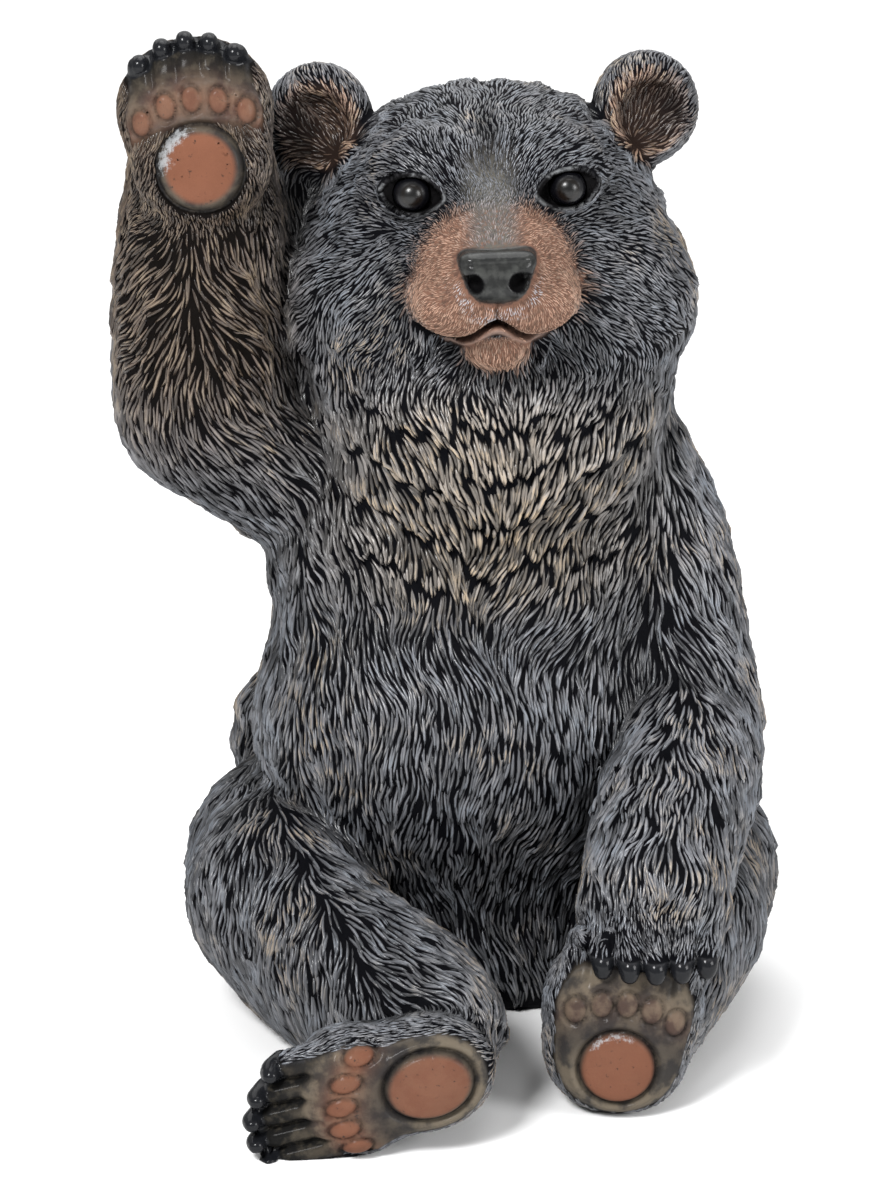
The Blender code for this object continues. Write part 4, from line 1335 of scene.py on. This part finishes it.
def furPaint(dryBrush, grain):
    material, tree, shader = newMaterial("furPaint")
    ridge, tint, tan, brown, ear, muzzlePaint, bridge, frost, hollow = (readField(tree, key) for key in (
        "ridge", "tint", "tan", "brown", "ear", "muzzle", "bridge", "frost", "hollow"))
    onMuzzle = times(step(ragged(muzzlePaint, tint, 0.35), 0.10, 0.85), minus(1.0, times(bridge, 0.80)))
    # hollow carries the painted shade; raised is how far out of it the fur lies
    raised = minus(1.18, hollow)
    coat = mix(brown, paint["coat"], paint["brownCoat"])
    coat = mix(ear, coat, paint["ear"])
    coat = mix(times(tan, 0.80), coat, paint["tanCoat"])
    coat = mix(onMuzzle, coat, paint["muzzle"])
    coat = mix(1.0, coat, spanned(tint, 0.35, 1.55), "MULTIPLY")
    # painted shade darkens the coat
    coat = mix(1.0, coat, plus(0.15, raised), "MULTIPLY")
    # each stroke darkens to the groove colour towards its base: base coat and painted shade between strokes
    body = step(ridge, 0.10, 0.50)
    colour = mix(body, mix(onMuzzle, paint["groove"], paint["muzzleGroove"]), coat)
    warm = plus(times(tan, 0.75), step(noise(tree, 34.0), 0.45, 0.70), True)
    crest = mix(most(warm, brown, ear), paint["coolCrest"], paint["warmCrest"])
    crest = mix(onMuzzle, crest, paint["muzzleCrest"])
    crest = mix(frost, crest, paint["frost"])
    amount = plus(plus(0.50, times(tan, 0.40)), times(frost, 0.9))
    # painted shade also thins the dry brush
    amount = times(minus(amount, times(brown, 0.24)), raised)
    lifted = plus(times(ridge, 0.85), times(tint, 0.15))
    brushed = use(tree, dryBrush, Ridge=lifted, Amount=amount, Patch_Scale=170.0)
    relief = use(tree, grain, Scale=1300.0)
    feed(shader, Base_Color=mix(brushed, colour, crest), Roughness=plus(times(relief, 0.30), 0.45),
         Coat_Weight=times(times(body, 0.62), minus(1.0, onMuzzle)), Coat_Roughness=0.26,
         Specular_IOR_Level=0.04, Normal=bump(tree, relief, 0.35, 0.0003))
    return material


def castPaint(grain):
    material, tree, shader = newMaterial("castPaint")
    on = {key: readField(tree, key) for key in (
        "muzzle", "bridge", "nose", "nostril", "mouth", "lip", "lids", "rim", "ear", "pad", "ring", "sole",
        "spray", "heel", "claw", "finger", "bare", "brown", "padHighlightMask")}
    padColour = mix(1.0, paint["terracotta"], plus(0.75, times(noise(tree, 60.0), 0.5)), "MULTIPLY")
    padColour = mix(step(noise(tree, 620.0, 4.0), 0.62, 0.74), padColour, paint["pit"])
    muzzleEdge = ragged(on["muzzle"], noise(tree, 520.0, 3.0, 0.6, (1.0, 1.0, 0.35)), 0.9)
    streaks = noise(tree, 900.0, 3.0, 0.6, (1.0, 1.0, 0.30))
    sprayed = ragged(on["spray"], noise(tree, 240.0, 4.0), times(on["spray"], 1.1), True)
    dark = most(on["ring"], on["mouth"], on["lids"], on["nostril"])
    # painted highlight on the pads' upper edges, ragged
    highlighted = step(ragged(on["padHighlightMask"], noise(tree, 520.0, 6.0, 0.75), 2.6), 0.55, 1.05)
    colour = mix(on["brown"], paint["under"], paint["underBrown"])
    layers = [
        (on["ear"], paint["underEar"]),
        (step(on["bare"], 0.15, 0.60), mottled(tree, "bare")),
        (on["finger"], mottled(tree, "finger")),
        (on["sole"], mix(times(on["heel"], 0.65), mottled(tree, "sole"), paint["heel"])),
        (step(muzzleEdge, 0.30, 0.72), mottled(tree, "muzzle")),
        (times(on["bridge"], step(streaks, 0.20, 0.62)), paint["bridge"]),
        (times(on["lip"], 0.7), paint["lip"]),
        (on["nose"], mottled(tree, "nose")),
        (on["nostril"], paint["nostril"]),
        (sprayed, padColour),
        (on["pad"], padColour),
        (times(dark, 0.97), paint["line"]),
        (times(on["rim"], step(noise(tree, 380.0), 0.40, 0.60)), paint["rim"]),
        (on["claw"], paint["claw"]),
        (times(highlighted, 0.70), paint["padHighlight"]),
    ]
    for mask, layer in layers:
        colour = mix(mask, colour, layer)
    relief = use(tree, grain, Scale=1100.0)
    gloss = most(times(most(on["claw"], on["nose"]), 0.34), times(on["finger"], 0.05),
                 times(most(on["pad"], on["sole"]), 0.06))
    feed(shader, Base_Color=colour, Roughness=plus(0.52, times(relief, 0.36), True),
         Coat_Weight=times(gloss, minus(1.0, dark), True), Coat_Roughness=0.17, Specular_IOR_Level=0.03,
         Normal=bump(tree, plus(relief, noise(tree, 330.0, 5.0)), 0.45, 0.0004))
    return material


eyeLook = {
    "back": (0.002, 0.002, 0.003),
    "irisDark": (0.0020, 0.0015, 0.0012),
    "irisLight": (0.0050, 0.0032, 0.0022),
    "pupil": (0.002, 0.002, 0.002),
    "roughness": (0.26, 0.34),
    "cornea": 0.030,  # how far it stands out, as a share of the ball's radius
    "furrow": 0.022,  # round the cornea
}


def eyeGlass():
    material, tree, shader = newMaterial("eyeGlass")
    iris = mix(noise(tree, 2200.0, 4.0), eyeLook["irisDark"], eyeLook["irisLight"])
    colour = mix(readField(tree, "iris"), eyeLook["back"], iris)
    colour = mix(readField(tree, "pupil"), colour, eyeLook["pupil"])
    feed(shader, Base_Color=colour, Roughness=spanned(noise(tree, 800.0), *eyeLook["roughness"]),
         Specular_IOR_Level=0.05, Coat_Weight=0.70, Coat_Roughness=0.30)
    return material


def makeEye(node, name):  # a glass eye with a domed cornea over a dark brown iris
    low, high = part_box(node)
    centre, radius = (low + high) / 2, (high.x - low.x) / 2
    look = outOf(np.array([[0.0, -1.0, 0.05]]), headFrame)[0]
    bpy.ops.object.select_all(action="DESELECT")
    bpy.ops.mesh.primitive_uv_sphere_add(segments=64, ring_count=40, radius=radius, location=centre)
    piece = bpy.context.active_object
    piece.name = name
    bpy.ops.object.transform_apply(location=True, rotation=True, scale=True)
    places = cornersOf(piece.data)
    local = (places - np.array(centre)) / radius
    ahead = local @ look / np.linalg.norm(look)
    dome = eyeLook["cornea"] * ramp(ahead, 0.80, 0.99) - eyeLook["furrow"] * swell(ahead, 0.80, 0.035)
    places += local * radius * dome[:, None]
    piece.data.vertices.foreach_set("co", places.ravel())
    writeField(piece.data, "iris", ramp(ahead, 0.76, 0.82))
    writeField(piece.data, "pupil", ramp(ahead, 0.91, 0.94))
    piece.data.shade_smooth()
    return piece


def padHighlightPlaces(points):  # painted highlights: white patches on the upper edges of the pads
    total = np.zeros(len(points))
    for paw, way in ((raisedPaw, (-0.75, 0.66)), (leftFoot, (-0.35, 0.94)), (rightFoot, (0.9, 0.2))):
        local = pawLocal(points, paw)
        across, along = local[:, 0] / paw["padRadii"][0], local[:, 2] / paw["padRadii"][1]
        out = np.hypot(across, along)
        facing = (across * way[0] + along * way[1]) / np.maximum(out, 1e-6)
        amount, wide = paw["padHighlight"]
        total = np.maximum(total, amount * swell(out, 0.86, wide) * ramp(facing, 0.45, 0.95)
                           * (np.abs(local[:, 1]) < 0.012))
    return total


print("stage: casting")
casting = makeCasting()
castingShares = toShares(cornersOf(casting.data))
masks = paintMasks(castingShares)
# painted shade in the casting's hollows, over the paint's dark wash there
masks["hollow"] = hollows(casting)
print("stage: fur")
furs = makeFur(casting, masks)
for key, values in {**masks, "bare": bareness(masks), "padHighlightMask": padHighlightPlaces(castingShares)}.items():
    writeField(casting.data, key, values)
print("stage: eyes")
eyes = [makeEye("eye_left", "glass_eye_left"), makeEye("eye_right", "glass_eye_right")]

print("stage: materials")
dryBrush, grain = makeDryBrush(), makeResinGrain()
furMaterial = furPaint(dryBrush, grain)
casting.data.materials.clear()
casting.data.materials.append(castPaint(grain))
for fur in furs:
    fur.data.materials.append(furMaterial)
glass = eyeGlass()
for eye in eyes:
    eye.data.materials.append(glass)

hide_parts("bear")
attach(casting, "root")
for fur in furs:
    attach(fur, "root")
for eye, node in zip(eyes, ("eye_left", "eye_right")):
    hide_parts(node)
    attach(eye, "root")

# Studio
studio = {
    "elevation": 15.0,  # degrees above the horizon
    "distance": 3.4,  # times the bear's height
    "aim": (0.0, 0.0, 0.416),
    "lens": 99.12,
    "floorColour": (0.94, 0.94, 0.94),
    "skyStrength": 0.42,
    "lamps": {  # place, what each points at, watts and width
        "keyLamp": ((-0.50, -1.00, 1.05), (0.0, 0.0, 0.16), 27.0, 0.36),
        "fillLamp": ((0.95, -0.70, 0.50), (0.0, 0.0, 0.16), 10.0, 0.50),
        "topLamp": ((0.10, 0.30, 1.30), (0.0, 0.0, 0.16), 7.0, 0.80),
        "backdropLamp": ((0.0, 2.90, 1.90), (0.0, 2.90, 0.0), 75.0, 4.0),
    },
}


def aimAt(thing, target):
    thing.rotation_euler = (Vector(target) - thing.location).to_track_quat("-Z", "Y").to_euler()


def addCamera():
    aim = Vector(studio["aim"]) * size + home
    tilt = math.radians(studio["elevation"])
    camera = bpy.data.objects.new("camera", bpy.data.cameras.new("camera"))
    camera.data.lens = studio["lens"]
    camera.location = aim + Vector((0, -math.cos(tilt), math.sin(tilt))) * studio["distance"] * size
    aimAt(camera, aim)
    bpy.context.scene.collection.objects.link(camera)
    bpy.context.scene.camera = camera


def addLamp(name, place, target, power, width):
    lamp = bpy.data.objects.new(name, bpy.data.lights.new(name, "AREA"))
    lamp.data.energy = power
    lamp.data.size = width
    lamp.location = place
    aimAt(lamp, target)
    bpy.context.scene.collection.objects.link(lamp)


def addFloor():
    bpy.ops.object.select_all(action="DESELECT")
    bpy.ops.mesh.primitive_plane_add(size=12.0, location=(0, 0, -0.0002))
    floor = bpy.context.active_object
    floor.name = "floor"
    material, tree, shader = newMaterial("floorPaint")
    dusty = tuple(0.985 * part for part in studio["floorColour"])
    feed(shader, Base_Color=mix(noise(tree, 3.0), studio["floorColour"], dusty), Roughness=0.8)
    floor.data.materials.append(material)


addCamera()
addFloor()
for name, lamp in studio["lamps"].items():
    addLamp(name, *lamp)
world = bpy.data.worlds.new("studio")
world.use_nodes = True
world.node_tree.nodes["Background"].inputs["Color"].default_value = (1.0, 1.0, 1.0, 1.0)
world.node_tree.nodes["Background"].inputs["Strength"].default_value = studio["skyStrength"]
bpy.context.scene.world = world
bpy.context.scene.view_settings.view_transform = "Standard"
print("stage: studio done")
